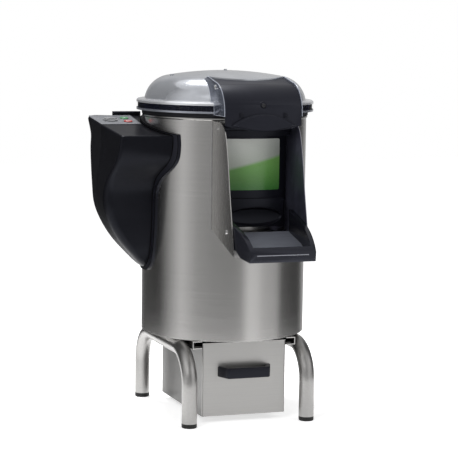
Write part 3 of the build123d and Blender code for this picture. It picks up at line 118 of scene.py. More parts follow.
# ---- camera and studio ------------------------------------------------------
CAMERA_TURN = math.radians(-19.8)
CAMERA_TILT = math.radians(6.6)
CAMERA_ROLL = math.radians(0.8)
CAMERA_DISTANCE = 4.2912
CAMERA_TARGET = (0.0128, -0.0046, 0.4258)
CAMERA_LENS = 143.54
CAMERA_REACH = 60.0
SENSOR_WIDTH = 36.0
WHITE = (1.0, 1.0, 1.0, 1.0)
FLOOR_TONE = (0.86, 0.86, 0.86, 1.0)
FLOOR_SIDE = 14.0
FLOOR_LIFT = 0.62  # glow of the floor that camera, gloss and glass see
AMBIENT = 0.46  # strength of the world's light on surfaces
SOFTBOXES = (  # name, place, watts, side
    ("key_light", (-2.6, -2.4, 3.0), 46.0, 1.6),
    ("fill_light", (3.2, -1.8, 2.2), 20.0, 1.6),
    ("top_light", (-0.36, 0.62, 2.5), 48.0, 0.58),
)
WALL_REACH = 0.95
WALL_STEPS = 90
WALL_TOP = 1.75
WALL_STOPS = (  # angle in degrees from -Y towards +X, tone of the wall there
    (-178, 0.34), (-160, 0.10), (-122, 0.05), (-110, 0.06), (-101, 0.20), (-90, 0.42),
    (-74, 0.76), (-64, 0.60), (-52, 0.42), (-30, 0.34), (-8, 0.32), (4, 0.36), (14, 0.85),
    (26, 0.78), (34, 0.58), (56, 0.48), (64, 0.10), (100, 0.06), (112, 0.14), (126, 0.46),
    (150, 0.50), (182, 0.34),
)
CEILING_TONE = 0.62
CEILING_SIDES = 48


# ---- shader maths -----------------------------------------------------------
class Wire:
    """One output of a shader node. Arithmetic on it adds the nodes that it needs."""

    def __init__(self, tree, socket=None):
        self.tree = tree
        self.socket = socket

    def node(self, kind, settings=None, inputs=None, out=0):
        """Adds a node of a kind: first its settings, then its sockets' values or links."""
        made = self.tree.nodes.new("ShaderNode" + kind)
        for name, value in (settings or {}).items():
            setattr(made, name, value)
        for name, value in (inputs or {}).items():
            if isinstance(value, Wire):
                self.tree.links.new(value.socket, made.inputs[name])
            else:
                made.inputs[name].default_value = value
        return Wire(self.tree, made.outputs[out])

    def maths(self, operation, *values):
        """Result of an operation on the values passed, which need not include this one."""
        return self.node("Math", {"operation": operation}, dict(enumerate(values)))

    def __add__(self, other):
        return self.maths("ADD", self, other)

    def __radd__(self, other):
        return self.maths("ADD", other, self)

    def __sub__(self, other):
        return self.maths("SUBTRACT", self, other)

    def __rsub__(self, other):
        return self.maths("SUBTRACT", other, self)

    def __mul__(self, other):
        return self.maths("MULTIPLY", self, other)

    def __rmul__(self, other):
        return self.maths("MULTIPLY", other, self)

    def between(self, low, high, from_value=0.0, to_value=1.0):
        """Runs evenly from one value to another while this goes from low to high."""
        return self.node("MapRange", {"clamp": True}, {0: self, 1: low, 2: high,
                                                       3: from_value, 4: to_value})

    def blend(self, first, second):
        """Colour that goes from the first to the second as this goes from 0 to 1."""
        return self.node("Mix", {"data_type": "RGBA"}, {0: self, 6: first, 7: second}, 2)

    def stretched(self, x, y, z):
        """These coordinates scaled along X, Y and Z."""
        return self.node("Mapping", {}, {"Vector": self, "Scale": (x, y, z)})

    def noise(self, scale, detail=2.0, roughness=0.5):
        """Cloudy value from 0 to 1 over these coordinates."""
        return self.node("TexNoise", {}, {"Vector": self, "Scale": scale,
                                          "Detail": detail, "Roughness": roughness})

    def axis(self, name):
        """One of the three numbers of a vector."""
        return self.node("SeparateXYZ", {}, {0: self}, name)

    def relief(self, depth, strength):
        """Surface direction for this height, in metres for a height of 1."""
        return self.node("Bump", {}, {"Height": self, "Distance": depth, "Strength": strength})


class Finish:
    """A material in the making: its shader and the object's own coordinates."""

    def __init__(self, name):
        self.material = bpy.data.materials.new(name)
        self.material.use_nodes = True
        self.tree = self.material.node_tree
        self.shader = self.tree.nodes["Principled BSDF"]
        self.place = Wire(self.tree).node("TexCoord", out="Object")

    def feed(self, **sockets):
        """Sets or links the shader's sockets, whose names are written with underscores."""
        for name, value in sockets.items():
            socket = self.shader.inputs[name.replace("_", " ").title().replace("Ior", "IOR")]
            if isinstance(value, Wire):
                self.tree.links.new(value.socket, socket)
            else:
                socket.default_value = value
        return self.material


def grey(tone, tint=(1.0, 1.0, 1.0)):
    """Colour of one tone, with a slight tint."""
    return (tone * tint[0], tone * tint[1], tone * tint[2], 1.0)


# ---- finishes ---------------------------------------------------------------
WARM_STEEL = (1.0, 0.985, 0.965)
COOL_BLACK = (0.88, 0.90, 1.30)
COOL_SHINE = (0.80, 0.84, 1.0, 1.0)
AROUND = (5.0, 5.0, 1500.0)
UPRIGHT = (1500.0, 1500.0, 5.0)

STEELS = {  # tone, roughness, scale of the grain along X, Y and Z, its depth
    "brushed_drum": (0.55, 0.21, AROUND, 5.0e-6),
    "polished_sheet": (0.50, 0.26, UPRIGHT, 5.0e-6),
    "drawer_steel": (0.40, 0.33, AROUND, 1.5e-6),
    "bright_sheet": (0.55, 0.28, (60.0, 60.0, 60.0), 5.0e-6),
    "tube_steel": (0.41, 0.33, (300.0, 8.0, 300.0), 5.0e-6),
}
METALS = {  # colour, roughness, how metallic
    "screw_steel": (grey(0.66), 0.24, 1.0),
    "brass_fitting": ((0.62, 0.46, 0.20, 1.0), 0.26, 1.0),
    "pulley_alloy": (grey(0.52), 0.34, 1.0),
    "cast_hub": (grey(0.30), 0.5, 0.8),
    "magnet": (grey(0.22), 0.35, 1.0),
    "weld_metal": (grey(0.46), 0.34, 1.0),
}
PLASTICS = {  # colour, roughness, strength and tint of the shine, scale and depth of the grain
    "black_plastic": (grey(0.007, COOL_BLACK), 0.34, 0.26, COOL_SHINE),
    "visor_plastic": (grey(0.012, COOL_BLACK), 0.42, 0.25, COOL_SHINE),
    "tray_plastic": (grey(0.010, COOL_BLACK), 0.24, 0.45, COOL_SHINE),
    "saddle_plastic": (grey(0.010, COOL_BLACK), 0.30, 0.26, COOL_SHINE),
    "housing_plastic": (grey(0.005, COOL_BLACK), 0.33, 0.17, COOL_SHINE),
    # the next entry's paler black is a painted highlight on the ridge's front edge
    "ridge_edge": (grey(0.05, COOL_BLACK), 0.35, 0.4),
    "seam_shadow": (grey(0.002), 0.7, 0.05),
    "foot_plastic": (grey(0.015), 0.5, 0.3),
    "dial_grey": (grey(0.20, (1.0, 1.02, 1.06)), 0.38, 0.5),
    "start_green": ((0.05, 0.20, 0.08, 1.0), 0.3, 0.5),
    "stop_red": ((0.30, 0.03, 0.025, 1.0), 0.3, 0.5),
    "switchgear": (grey(0.10), 0.45, 0.5),
    "motor_paint": ((0.05, 0.08, 0.13, 1.0), 0.42, 0.5, WHITE, 500.0, 4.0e-5),
    "panel_ink": (grey(0.02), 0.5, 0.3),
    "pale_ink": (grey(0.60), 0.45, 0.5),
    # the next entry's pale grey is a painted highlight on the cheek rims
    "clear_edge": ((0.34, 0.36, 0.42, 1.0), 0.22, 0.8),
    # the next entry's pale grey is a painted glint in the tray's groove
    "groove_edge": ((0.30, 0.31, 0.36, 1.0), 0.2, 0.9),
}
RUBBERS = {  # colour, roughness, strength of the shine
    "black_rubber": (grey(0.009, COOL_BLACK), 0.62, 0.35),
    "ribbed_seal": ((0.004, 0.005, 0.012, 1.0), 0.45, 0.15),
}
GRITS = {  # dark and light grains, how fine they are
    "grit": (grey(0.05), grey(0.16), 900.0),
    "grit_disc": (grey(0.06), grey(0.20), 700.0),
}


def brushed_steel(name, tone, rough, grain, depth):
    """Stainless sheet whose grain runs where its scale is small."""
    finish = Finish(name)
    lines = finish.place.stretched(*grain).noise(1.0, 2.0, 0.6)
    cloud = finish.place.noise(7.0, 2.0)
    tone_now = lines.between(0.3, 0.7) * 0.7 + cloud.between(0.3, 0.7) * 0.3
    return finish.feed(
        base_color=tone_now.blend(grey(tone * 0.94, WARM_STEEL), grey(tone * 1.06, WARM_STEEL)),
        metallic=1.0, roughness=lines.between(0.3, 0.7, rough - 0.02, rough + 0.03),
        normal=lines.relief(depth, 0.5),
    )


def turned_metal(name, colour, rough, metallic):
    """Machined or plated small part with faint scratches and handling marks."""
    finish = Finish(name)
    marks = finish.place.noise(420.0, 4.0, 0.6)
    cloud = finish.place.noise(60.0, 2.0)
    dull = tuple(0.8 * c for c in colour[:3]) + (1.0,)
    return finish.feed(
        base_color=cloud.between(0.35, 0.65).blend(dull, colour), metallic=metallic,
        roughness=marks.between(0.3, 0.7, rough - 0.05, rough + 0.07),
        normal=marks.relief(1.0e-5, 0.4),
    )


def moulded_plastic(name, colour, rough, level, shine=WHITE, grain_scale=1500.0, depth=1.2e-5):
    """Moulded part with a fine even grain and slightly worn gloss."""
    finish = Finish(name)
    grain = finish.place.noise(grain_scale, 2.0, 0.5)
    cloud = finish.place.noise(14.0, 3.0)
    pale = tuple(1.22 * c for c in colour[:3]) + (1.0,)
    return finish.feed(
        base_color=cloud.between(0.35, 0.7).blend(colour, pale),
        roughness=cloud.between(0.3, 0.7, rough - 0.03, rough + 0.04),
        normal=grain.relief(depth, 0.6), specular_ior_level=level, specular_tint=shine,
    )


def rubber(name, colour, rough, level):
    """Matt rubber with a dusty bloom."""
    finish = Finish(name)
    bloom = finish.place.noise(130.0, 4.0, 0.6)
    dusty = tuple(1.7 * c for c in colour[:3]) + (1.0,)
    return finish.feed(
        base_color=bloom.between(0.42, 0.75).blend(colour, dusty),
        roughness=bloom.between(0.3, 0.7, rough - 0.06, rough + 0.08),
        normal=bloom.relief(4.0e-5, 0.5), specular_ior_level=level,
    )


def grit(name, dark, light, cell):
    """Abrasive grains bonded to a surface."""
    finish = Finish(name)
    grains = finish.place.node("TexVoronoi", {}, {"Vector": finish.place, "Scale": cell})
    tone = finish.place.noise(cell * 0.7, 2.0)
    return finish.feed(
        base_color=tone.between(0.35, 0.65).blend(dark, light), roughness=0.86,
        normal=grains.relief(5.0e-4, 0.9),
    )


def clear_lid(name):
    """Smoky clear moulding; the seal's ribs show through a band of its skirt, and the ledge above
    the skirt has a painted highlight.
    """
    finish = Finish(name)
    height = finish.place.axis("Z")
    window = height.between(*WINDOW_LOW) * height.between(*WINDOW_HIGH, 1.0, 0.0)
    below = height.between(*SKIRT_HIGH, 1.0, 0.0)
    dome = height.between(*PAINTED_LEDGE_HIGHLIGHT_TOP)
    haze = finish.place.noise(26.0, 3.0)
    smoke = haze.between(0.35, 0.7).blend((0.56, 0.58, 0.62, 1.0), (0.63, 0.65, 0.69, 1.0))
    # painted highlight: the ledge between the skirt and the dome is near white
    upper = dome.blend((0.92, 0.93, 0.97, 1.0), smoke)
    skirt = window.blend((0.42, 0.44, 0.50, 1.0), (0.02, 0.02, 0.05, 1.0))
    return finish.feed(
        base_color=below.blend(upper, skirt),
        metallic=window.between(0.0, 1.0, 0.70, 0.0),
        roughness=haze.between(0.3, 0.7, 0.12, 0.16),
        alpha=window.between(0.0, 1.0, 0.95, 0.07),
        coat_weight=0.4, coat_roughness=0.06,
    )


def clear_cheek(name):
    """Clear side wall of the visor, more mirror where it turns away."""
    finish = Finish(name)
    away = finish.place.node("LayerWeight", {}, {"Blend": 0.42}, "Facing")
    haze = finish.place.noise(34.0, 3.0)
    pale = haze.between(0.35, 0.7).blend((0.15, 0.165, 0.21, 1.0), (0.20, 0.22, 0.28, 1.0))
    return finish.feed(
        base_color=pale, metallic=0.55, roughness=haze.between(0.3, 0.7, 0.12, 0.18),
        alpha=away.between(0.0, 0.8, 0.72, 0.97),
        coat_weight=0.6, coat_roughness=0.05,
    )


def printed_label(name):
    """Silver-grey sheet that runs to green below a soft slanting line."""
    finish = Finish(name)
    height = finish.place.axis("Z").between(LABEL_LOW, LABEL_HIGH)
    line = height - finish.place.axis("X") * LABEL_SLANT
    dots = finish.place.noise(900.0, 1.0)
    silver = line.between(0.55, 1.15).blend((0.46, 0.50, 0.44, 1.0), (0.84, 0.86, 0.82, 1.0))
    green = height.between(0.0, 0.62).blend((0.050, 0.200, 0.035, 1.0), (0.20, 0.45, 0.11, 1.0))
    art = line.between(0.49, 0.56).blend(green, silver)
    return finish.feed(base_color=art, roughness=dots.between(0.3, 0.7, 0.24, 0.32),
                       coat_weight=0.3, coat_roughness=0.12)


def plate_sheet(name):
    """Right chute plate: its outside polished; its inside rougher, scuffed and darkened by painted
    shade.
    """
    finish = Finish(name)
    outside = finish.place.axis("X").between(*PLATE_OUTSIDE)
    scuff = finish.place.stretched(40.0, 90.0, 30.0).noise(1.0, 4.0, 0.6)
    # painted shade: the inside's steel colour is darkened to 0.10-0.16
    dull = scuff.between(0.3, 0.7).blend(grey(0.10, COOL_BLACK), grey(0.16, COOL_BLACK))
    return finish.feed(
        base_color=outside.blend(dull, grey(0.50, WARM_STEEL)),
        metallic=outside.between(0.0, 1.0, 0.75, 1.0),
        roughness=outside * -0.14 + scuff.between(0.3, 0.7, 0.38, 0.46),
    )


def drawer_sheet(name):
    """Drawer's sheet, brighter at the front; its sides are darker by painted shade."""
    finish = Finish(name)
    front = finish.place.axis("Y").between(*DRAWER_FRONT, 1.0, 0.0)
    lines = finish.place.stretched(*AROUND).noise(1.0, 2.0, 0.6)
    # painted shade: the sides take 0.16 of the steel colour where the front takes 0.39
    tone = lines.between(0.3, 0.7, 0.96, 1.04) * front.between(0.0, 1.0, 0.16, 0.39)
    return finish.feed(
        base_color=tone.blend(grey(0.0), grey(1.0, WARM_STEEL)), metallic=1.0,
        roughness=lines.between(0.3, 0.7, 0.31, 0.36), normal=lines.relief(1.5e-6, 0.5),
    )


def tray_sheet(name):
    """Scuffed steel floor of the tray, duller than the chute's sheet."""
    finish = Finish(name)
    scuff = finish.place.stretched(30.0, 120.0, 30.0).noise(1.0, 4.0, 0.6)
    return finish.feed(
        base_color=scuff.between(0.3, 0.7).blend(grey(0.26, COOL_SHINE), grey(0.34, COOL_SHINE)),
        metallic=0.25, roughness=scuff.between(0.3, 0.7, 0.42, 0.52),
        normal=scuff.relief(2.0e-5, 0.4),
    )


def screw_heads(name):
    """Bright screws at the visor's sides; the one in the middle of its face is black as painted
    shade of its recess.
    """
    finish = Finish(name)
    across = finish.place.axis("X")
    aside = across.maths("ABSOLUTE", across).between(*SCREW_ASIDE)
    marks = finish.place.noise(420.0, 4.0, 0.6)
    bright = marks.between(0.3, 0.7).blend(grey(0.62), grey(0.74))
    return finish.feed(
        # painted shade: the middle screw's colour is near black and not metallic
        base_color=aside.blend(grey(0.012, COOL_BLACK), bright), metallic=aside,
        roughness=marks.between(0.3, 0.7, 0.20, 0.32), normal=marks.relief(1.0e-5, 0.4),
    )


def panel_foil(name):
    """Silver-grey printed foil with faint mottling."""
    finish = Finish(name)
    mottle = finish.place.noise(160.0, 4.0, 0.7)
    streak = finish.place.noise(28.0, 2.0)
    base = mottle.between(0.3, 0.7).blend((0.10, 0.105, 0.12, 1.0), (0.20, 0.205, 0.22, 1.0))
    return finish.feed(base_color=base, roughness=streak.between(0.3, 0.7, 0.36, 0.48),
                       metallic=0.2, normal=mottle.relief(2.0e-5, 0.5))


def circuit_board(name):
    """Green lacquered board with paler tracks."""
    finish = Finish(name)
    bricks = finish.place.node("TexBrick", {}, {
        "Vector": finish.place, "Scale": 90.0, "Color1": (0.02, 0.10, 0.04, 1.0),
        "Color2": (0.03, 0.14, 0.05, 1.0), "Mortar": (0.10, 0.26, 0.10, 1.0), "Mortar Size": 0.04,
    })
    gloss = finish.place.noise(70.0, 2.0)
    return finish.feed(base_color=bricks, roughness=gloss.between(0.3, 0.7, 0.25, 0.4))


SINGLES = {  # finishes with a function of their own
    "lid_shell": clear_lid,
    "clear_plastic": clear_cheek,
    "printed_label": printed_label,
    "plate_sheet": plate_sheet,
    "drawer_sheet": drawer_sheet,
    "tray_sheet": tray_sheet,
    "visor_screw": screw_heads,
    "panel_foil": panel_foil,
    "circuit_board": circuit_board,
}


def make_finishes():
    """Every finish by its name, which is that of a material slot or its own."""
    finishes = {name: make(name) for name, make in SINGLES.items()}
    for make, table in ((brushed_steel, STEELS), (turned_metal, METALS),
                        (moulded_plastic, PLASTICS), (rubber, RUBBERS), (grit, GRITS)):
        for name, values in table.items():
            finishes[name] = make(name, *values)
    return finishes


OWN_FINISH = {  # nodes that don't take the finish of their slot as it is
    "lid_dome": "lid_shell",
    "visor_cover": "visor_plastic",
    "discharge_tray": "tray_plastic",
    "visor_screws": "visor_screw",
    "chute_plate_right": "plate_sheet",
    "tray_floor": "tray_sheet",
    "housing_saddle": "saddle_plastic",
    "drawer_box": "drawer_sheet",
}

EASED = (  # nodes whose edges are rounded, and by how much
    ("discharge_tray", 0.0020),
    ("visor_cover", 0.0010),
    ("drawer_handle", 0.0010),
    ("door_panel", 0.0008),
    ("visor_cheek_left", 0.0006),
    ("visor_cheek_right", 0.0006),
)


# ---- pieces -----------------------------------------------------------------
ROUND_ANGLE = math.radians(32.0)  # faces that meet at less look round
SHARP_ANGLE = math.radians(35.0)  # edges of the solids that count as sharp
FLAT_ANGLE = math.radians(0.5)  # faces that meet at less become one
SAME_PLACE = 1.0e-6  # corners closer than this become one
ON_FACE = 2.0e-4  # corners closer than this lie on a face


def add_piece(name, shape, slot, body, stands_for=(), finish=None):
    """Puts a finished mesh on its body, smooth where it is round."""
    bmesh.ops.remove_doubles(shape, verts=shape.verts, dist=SAME_PLACE)
    bmesh.ops.recalc_face_normals(shape, faces=shape.faces)
    mesh = bpy.data.meshes.new(name)
    shape.to_mesh(mesh)
    shape.free()
    mesh.shade_smooth()
    mesh.set_sharp_from_angle(angle=ROUND_ANGLE)
    mesh.materials.append(FINISHES[finish or slot])
    piece = bpy.data.objects.new(name, mesh)
    bpy.context.scene.collection.objects.link(piece)
    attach(piece, body)
    if stands_for:
        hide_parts(*stands_for)


def loop_of(shape, points):
    """Closed line of edges through points."""
    verts = [shape.verts.new(p) for p in points]
    edges = [shape.edges.new(pair) for pair in zip(verts, verts[1:] + verts[:1])]
    return verts, edges


def lathe(shape, points, steps):
    """Spins a closed profile of (radius, height) pairs right round the drum's axis."""
    verts, edges = loop_of(shape, [(r, 0.0, z) for r, z in points])
    bmesh.ops.spin(shape, geom=verts + edges, cent=(0, 0, 0), axis=(0, 0, 1),
                   angle=math.tau, steps=steps, use_merge=True)


def small_block(shape, size, matrix, soft, segments=1):
    """Box with eased edges, placed by a matrix."""
    made = bmesh.ops.create_cube(shape, size=1.0, matrix=matrix @ Matrix.Diagonal((*size, 1.0)))
    edges = list(dict.fromkeys(e for v in made["verts"] for e in v.link_edges))
    bmesh.ops.bevel(shape, geom=edges, offset=soft, segments=segments, profile=0.5,
                    affect="EDGES", material=-1)


def body_of(node):
    """Body that carries a node."""
    bodies = frame["record"]["behaviour"]["bodies"]
    return next(body for body, nodes in bodies.items() if node in nodes)


def solid_shape(node):
    """Copy of a node's mesh with its faces joined where they meet."""
    shape = bmesh.new()
    shape.from_mesh(frame["nodes"][node].data)
    bmesh.ops.remove_doubles(shape, verts=shape.verts, dist=SAME_PLACE)
    return shape


def is_sharp(edge):
    """Whether an edge has two faces that meet at a sharp angle."""
    return edge.is_manifold and edge.calc_face_angle() > SHARP_ANGLE


def ease_edges(node, width):
    """Takes the place of a node with its own shape, whose sharp edges are rounded."""
    slot = next(r["material_slot"] for r in frame["record"]["subparts"] if r["node"] == node)
    shape = solid_shape(node)
    bmesh.ops.dissolve_limit(shape, angle_limit=FLAT_ANGLE, verts=shape.verts, edges=shape.edges)
    edges = [e for e in shape.edges if is_sharp(e)]
    bmesh.ops.bevel(shape, geom=edges, offset=width, segments=2, profile=0.5,
                    affect="EDGES", clamp_overlap=True, material=-1)
    add_piece(node + "_eased", shape, slot, body_of(node), [node],
              finish=OWN_FINISH.get(node, slot))


def walk(vert, left):
    """Places along the edges that are left, from a corner on. It uses those edges up."""
    places = []
    while True:
        edge = next((e for e in vert.link_edges if e in left), None)
        if edge is None:
            return places
        left.discard(edge)
        vert = edge.other_vert(vert)
        places.append(vert.co.copy())


def sharp_line(node, belongs):
    """Longest line of sharp edges of a node whose places all pass a test."""
    shape = solid_shape(node)
    left = {e for e in shape.edges if is_sharp(e) and all(belongs(v.co) for v in e.verts)}
    lines = []
    for edge in shape.edges:
        if edge in left:
            left.discard(edge)
            first, last = edge.verts
            ahead = walk(last, left)
            behind = walk(first, left)
            lines.append(behind[::-1] + [first.co.copy(), last.co.copy()] + ahead)
    shape.free()
    return max(lines, key=len)


def take_over(shape, curve, matrix=None):
    """Adds a curve to a shape as faces, placed by a matrix, and drops the curve."""
    holder = bpy.data.objects.new("curve", curve)
    bpy.context.scene.collection.objects.link(holder)
    bpy.context.view_layer.update()
    mesh = bpy.data.meshes.new_from_object(
        holder.evaluated_get(bpy.context.evaluated_depsgraph_get()))
    if matrix:
        mesh.transform(matrix)
    shape.from_mesh(mesh)
    bpy.data.meshes.remove(mesh)
    bpy.data.objects.remove(holder)
    bpy.data.curves.remove(curve)


def bead_along(shape, points, radius):
    """Adds a round bead that follows points."""
    curve = bpy.data.curves.new("bead", "CURVE")
    curve.dimensions = "3D"
    curve.bevel_depth = radius
    curve.bevel_resolution = 2
    curve.use_fill_caps = True
    line = curve.splines.new("POLY")
    line.points.add(len(points) - 1)
    for spot, place in zip(line.points, points):
        spot.co = (*place, 1.0)
    take_over(shape, curve)


def thinned(points, pitch):
    """The same line with points at least a pitch apart."""
    kept = [points[0]]
    for point in points[1:]:
        if (point - kept[-1]).length >= pitch:
            kept.append(point)
    return kept


def make_housing_seam():
    """Dark gap where the housing's wall lands on the saddle, and round the saddle's edge."""
    shape = bmesh.new()
    for node, radius in SEAM_BEADS:
        line = sharp_line(node, lambda place: abs(place.xy.length - SADDLE_RADIUS) < ON_FACE)
        bead_along(shape, thinned(line, SEAM_PITCH), radius)
    add_piece("housing_seam", shape, "black_plastic", "frame", finish="seam_shadow")


def make_cheek_rims():
    """Outer edges of the visor's clear cheeks, as beads paler than the cheeks: a painted highlight.
    """
    for node in ("visor_cheek_left", "visor_cheek_right"):
        reach = max(abs(v.co.x) for v in frame["nodes"][node].data.vertices)
        line = sharp_line(node, lambda place: abs(place.x) > reach - ON_FACE)
        sunk = 1.0 - CHEEK_BEAD_SUNK / reach
        shape = bmesh.new()
        bead_along(shape, [Vector((p.x * sunk, p.y, p.z)) for p in line], CHEEK_BEAD)
        add_piece(node + "_rim", shape, "clear_plastic", "lid", finish="clear_edge")


def make_groove_edge():
    """Bead in the groove of the tray's front bar, pale as a painted glint."""
    half, y, z = TRAY_GROOVE
    shape = bmesh.new()
    bead_along(shape, [Vector((x, y, z)) for x in (-half, half)], GROOVE_BEAD)
    add_piece("tray_groove_edge", shape, "black_plastic", "frame", finish="groove_edge")


def make_ridge_edge():
    """Rounded front edge of the ridge behind the control panel, paler than the housing as a painted
    highlight.
    """
    first, last, height = RIDGE_EDGE
    shape = bmesh.new()
    bead_along(shape, [Vector((x, y, TOP_Z + y * math.tan(TOP_SLOPE) + height))
                       for x, y in (first, last)], RIDGE_BEAD)
    add_piece("housing_ridge_edge", shape, "black_plastic", "frame", finish="ridge_edge")


def make_lid_seal():
    """Rubber ring inside the lid's skirt with fine upright ribs."""
    shape = bmesh.new()
    inner, outer = SEAL_INNER, LID_SKIRT - SEAL_GAP
    soft = SEAL_SOFT
    section = [(inner, SEAL_LOW), (outer - soft, SEAL_LOW), (outer, SEAL_LOW + soft),
               (outer, SEAL_HIGH - soft), (outer - soft, SEAL_HIGH), (inner, SEAL_HIGH)]
    lathe(shape, section, SEAL_STEPS)
    rib = bmesh.new()
    middle = Vector((0.0, -outer, (SEAL_LOW + SEAL_HIGH) / 2))
    small_block(rib, RIB_SIZE, Matrix.Translation(middle), RIB_SOFT)
    bmesh.ops.spin(rib, geom=rib.verts[:] + rib.edges[:] + rib.faces[:], cent=(0, 0, 0),
                   axis=(0, 0, 1), angle=math.tau, steps=RIB_COUNT, use_duplicate=True)
    ribs = bpy.data.meshes.new("ribs")
    rib.to_mesh(ribs)
    rib.free()
    shape.from_mesh(ribs)
    bpy.data.meshes.remove(ribs)
    add_piece("lid_seal_ribs", shape, "ribbed_seal", "lid", ["lid_seal"])


def grip_mouth(turn):
    """Place (x, z) on the edge of the finger hollow, which tapers as it goes in."""
    x = 0.0
    for _ in range(GRIP_ROUNDS):
        sunk = (GRIP_FRONT - math.sqrt(STEP_FACE ** 2 - x * x)) / GRIP_DEPTH
        x = GRIP_SIZE[0] * (1.0 - GRIP_TAPER[0] * sunk) * math.cos(turn)
    return x, GRIP_SIZE[1] * (1.0 - GRIP_TAPER[1] * sunk) * math.sin(turn)


def make_grip_rim():
    """Rounded rim round the door's oval finger hollow."""
    shape = bmesh.new()
    around, sides = GRIP_RIM_STEPS
    turns = [math.tau * side / sides for side in range(sides)]
    lathe(shape, [(1.0 + GRIP_RIM / GRIP_SIZE[0] * math.cos(turn), GRIP_RIM * math.sin(turn))
                  for turn in turns], around)
    for vert in shape.verts:
        mouth = grip_mouth(math.atan2(vert.co.y, vert.co.x))
        x, z = (vert.co.xy.length * reach for reach in mouth)
        y = -math.sqrt(STEP_FACE ** 2 - x * x) - vert.co.z
        vert.co = (x, y, GRIP_Z + z)
    add_piece("grip_rim", shape, "black_plastic", "door")


def make_weld_beads():
    """Welds along the two edges where the chute plates meet the drum."""
    shape = bmesh.new()
    reach = math.sqrt(DRUM_RADIUS ** 2 - PLATE_HALF ** 2)
    step = (CHUTE_TOP - CHUTE_SILL) / WELD_RINGS
    for side in (-1.0, 1.0):
        low = Vector((side * PLATE_HALF, -reach, CHUTE_SILL - WELD_DROP))
        start = bmesh.ops.create_circle(shape, cap_ends=True, segments=WELD_SIDES,
                                        radius=WELD_RADIUS, matrix=Matrix.Translation(low))
        face = start["verts"][0].link_faces[0]
        for ring in range(WELD_RINGS):
            made = bmesh.ops.extrude_discrete_faces(shape, faces=[face])
            face = made["faces"][0]
            bmesh.ops.translate(shape, verts=face.verts, vec=(0, 0, step))
            size = WELD_SWELL[ring % 2]
            middle = face.calc_center_median()
            bmesh.ops.scale(shape, verts=face.verts, vec=(size, size, 1.0),
                            space=Matrix.Translation(-middle))
    add_piece("chute_weld_beads", shape, "polished_sheet", "frame", finish="weld_metal")


def make_visor_catches():
    """Two small raised catches on the visor's face, beside the thumb lip."""
    shape = bmesh.new()
    x, y, z = CATCH_PLACE
    for side in (-1.0, 1.0):
        small_block(shape, CATCH_SIZE, Matrix.Translation((side * x, y, z)), CATCH_SOFT, 2)
        for offset in (-TOOTH_APART, TOOTH_APART):
            middle = Matrix.Translation((side * x, y - TOOTH_PROUD, z + offset))
            small_block(shape, TOOTH_SIZE, middle, TOOTH_SOFT)
    add_piece("visor_catches", shape, "black_plastic", "lid")


# ---- control panel ----------------------------------------------------------
def top_frame(lift):
    """Matrix whose XY plane is the housing's sloping top, raised by a lift."""
    lean = Matrix.Rotation(TOP_SLOPE, 4, "X")
    return Matrix.Translation((0, 0, TOP_Z)) @ lean @ Matrix.Translation((0, 0, lift))


def write_on(shape, text, size, matrix):
    """Adds raised figures, centred on a matrix."""
    curve = bpy.data.curves.new("figures", "FONT")
    curve.body = text
    curve.size = size
    curve.extrude = FIGURE_THICK
    curve.align_x, curve.align_y = "CENTER", "CENTER"
    take_over(shape, curve, matrix)


def make_panel_print():
    """Scale with figures round the timer dial and a ring round each button."""
    shape = bmesh.new()
    plane = top_frame(PANEL_FACE + INK_LIFT)
    dial = plane @ Matrix.Translation((*DIAL_PLACE, 0))
    for minute in range(SCALE_FIGURES):
        turn = Matrix.Rotation(math.radians(SCALE_START - SCALE_STEP * minute), 4, "Z")
        small_block(shape, TICK_SIZE,
                    dial @ turn @ Matrix.Translation((DIAL_RADIUS + TICK_OUT, 0, 0)), TICK_SOFT)
        spot = turn @ Vector((DIAL_RADIUS + FIGURE_OUT, 0, 0))
        write_on(shape, str(minute), FIGURE_SIZE, dial @ Matrix.Translation(spot))
    near, far = (BUTTON_RADIUS + out for out in RING_OUT)
    for place in (START_PLACE, STOP_PLACE):
        middle = plane @ Matrix.Translation((*place, 0))
        ring = bmesh.ops.create_circle(shape, segments=RING_SIDES, radius=near, matrix=middle)
        edges = list(dict.fromkeys(e for v in ring["verts"] for e in v.link_edges))
        wide = bmesh.ops.extrude_edge_only(shape, edges=edges)
        outer = [v for v in wide["geom"] if isinstance(v, bmesh.types.BMVert)]
        bmesh.ops.scale(shape, verts=outer, vec=(far / near,) * 3, space=middle.inverted())
    add_piece("panel_print", shape, "panel_foil", "frame", finish="panel_ink")


def make_button_marks():
    """Bar on the start button, circle on the stop button, pointer on the dial."""
    bar = bmesh.new()
    plane = top_frame(BUTTON_FACE + MARK_LIFT) @ Matrix.Translation((*START_PLACE, 0))
    small_block(bar, BAR_SIZE, plane, MARK_SOFT)
    add_piece("start_mark", bar, "start_green", "start_key", finish="pale_ink")
    circle = bmesh.new()
    plane = top_frame(BUTTON_FACE + MARK_LIFT) @ Matrix.Translation((*STOP_PLACE, 0))
    near, far = CIRCLE_RADII
    lathe(circle, [(near, -CIRCLE_HALF), (far, -CIRCLE_HALF), (far, CIRCLE_HALF),
                   (near, CIRCLE_HALF)], CIRCLE_SIDES)
    bmesh.ops.transform(circle, matrix=plane, verts=circle.verts)
    add_piece("stop_mark", circle, "stop_red", "stop_key", finish="pale_ink")
    pointer = bmesh.new()
    plane = top_frame(DIAL_FACE + MARK_LIFT) @ Matrix.Translation((*DIAL_PLACE, 0))
    small_block(pointer, POINTER_SIZE, plane @ Matrix.Translation((-POINTER_OUT, 0, 0)), MARK_SOFT)
    add_piece("dial_pointer", pointer, "dial_grey", "timer_knob", finish="pale_ink")


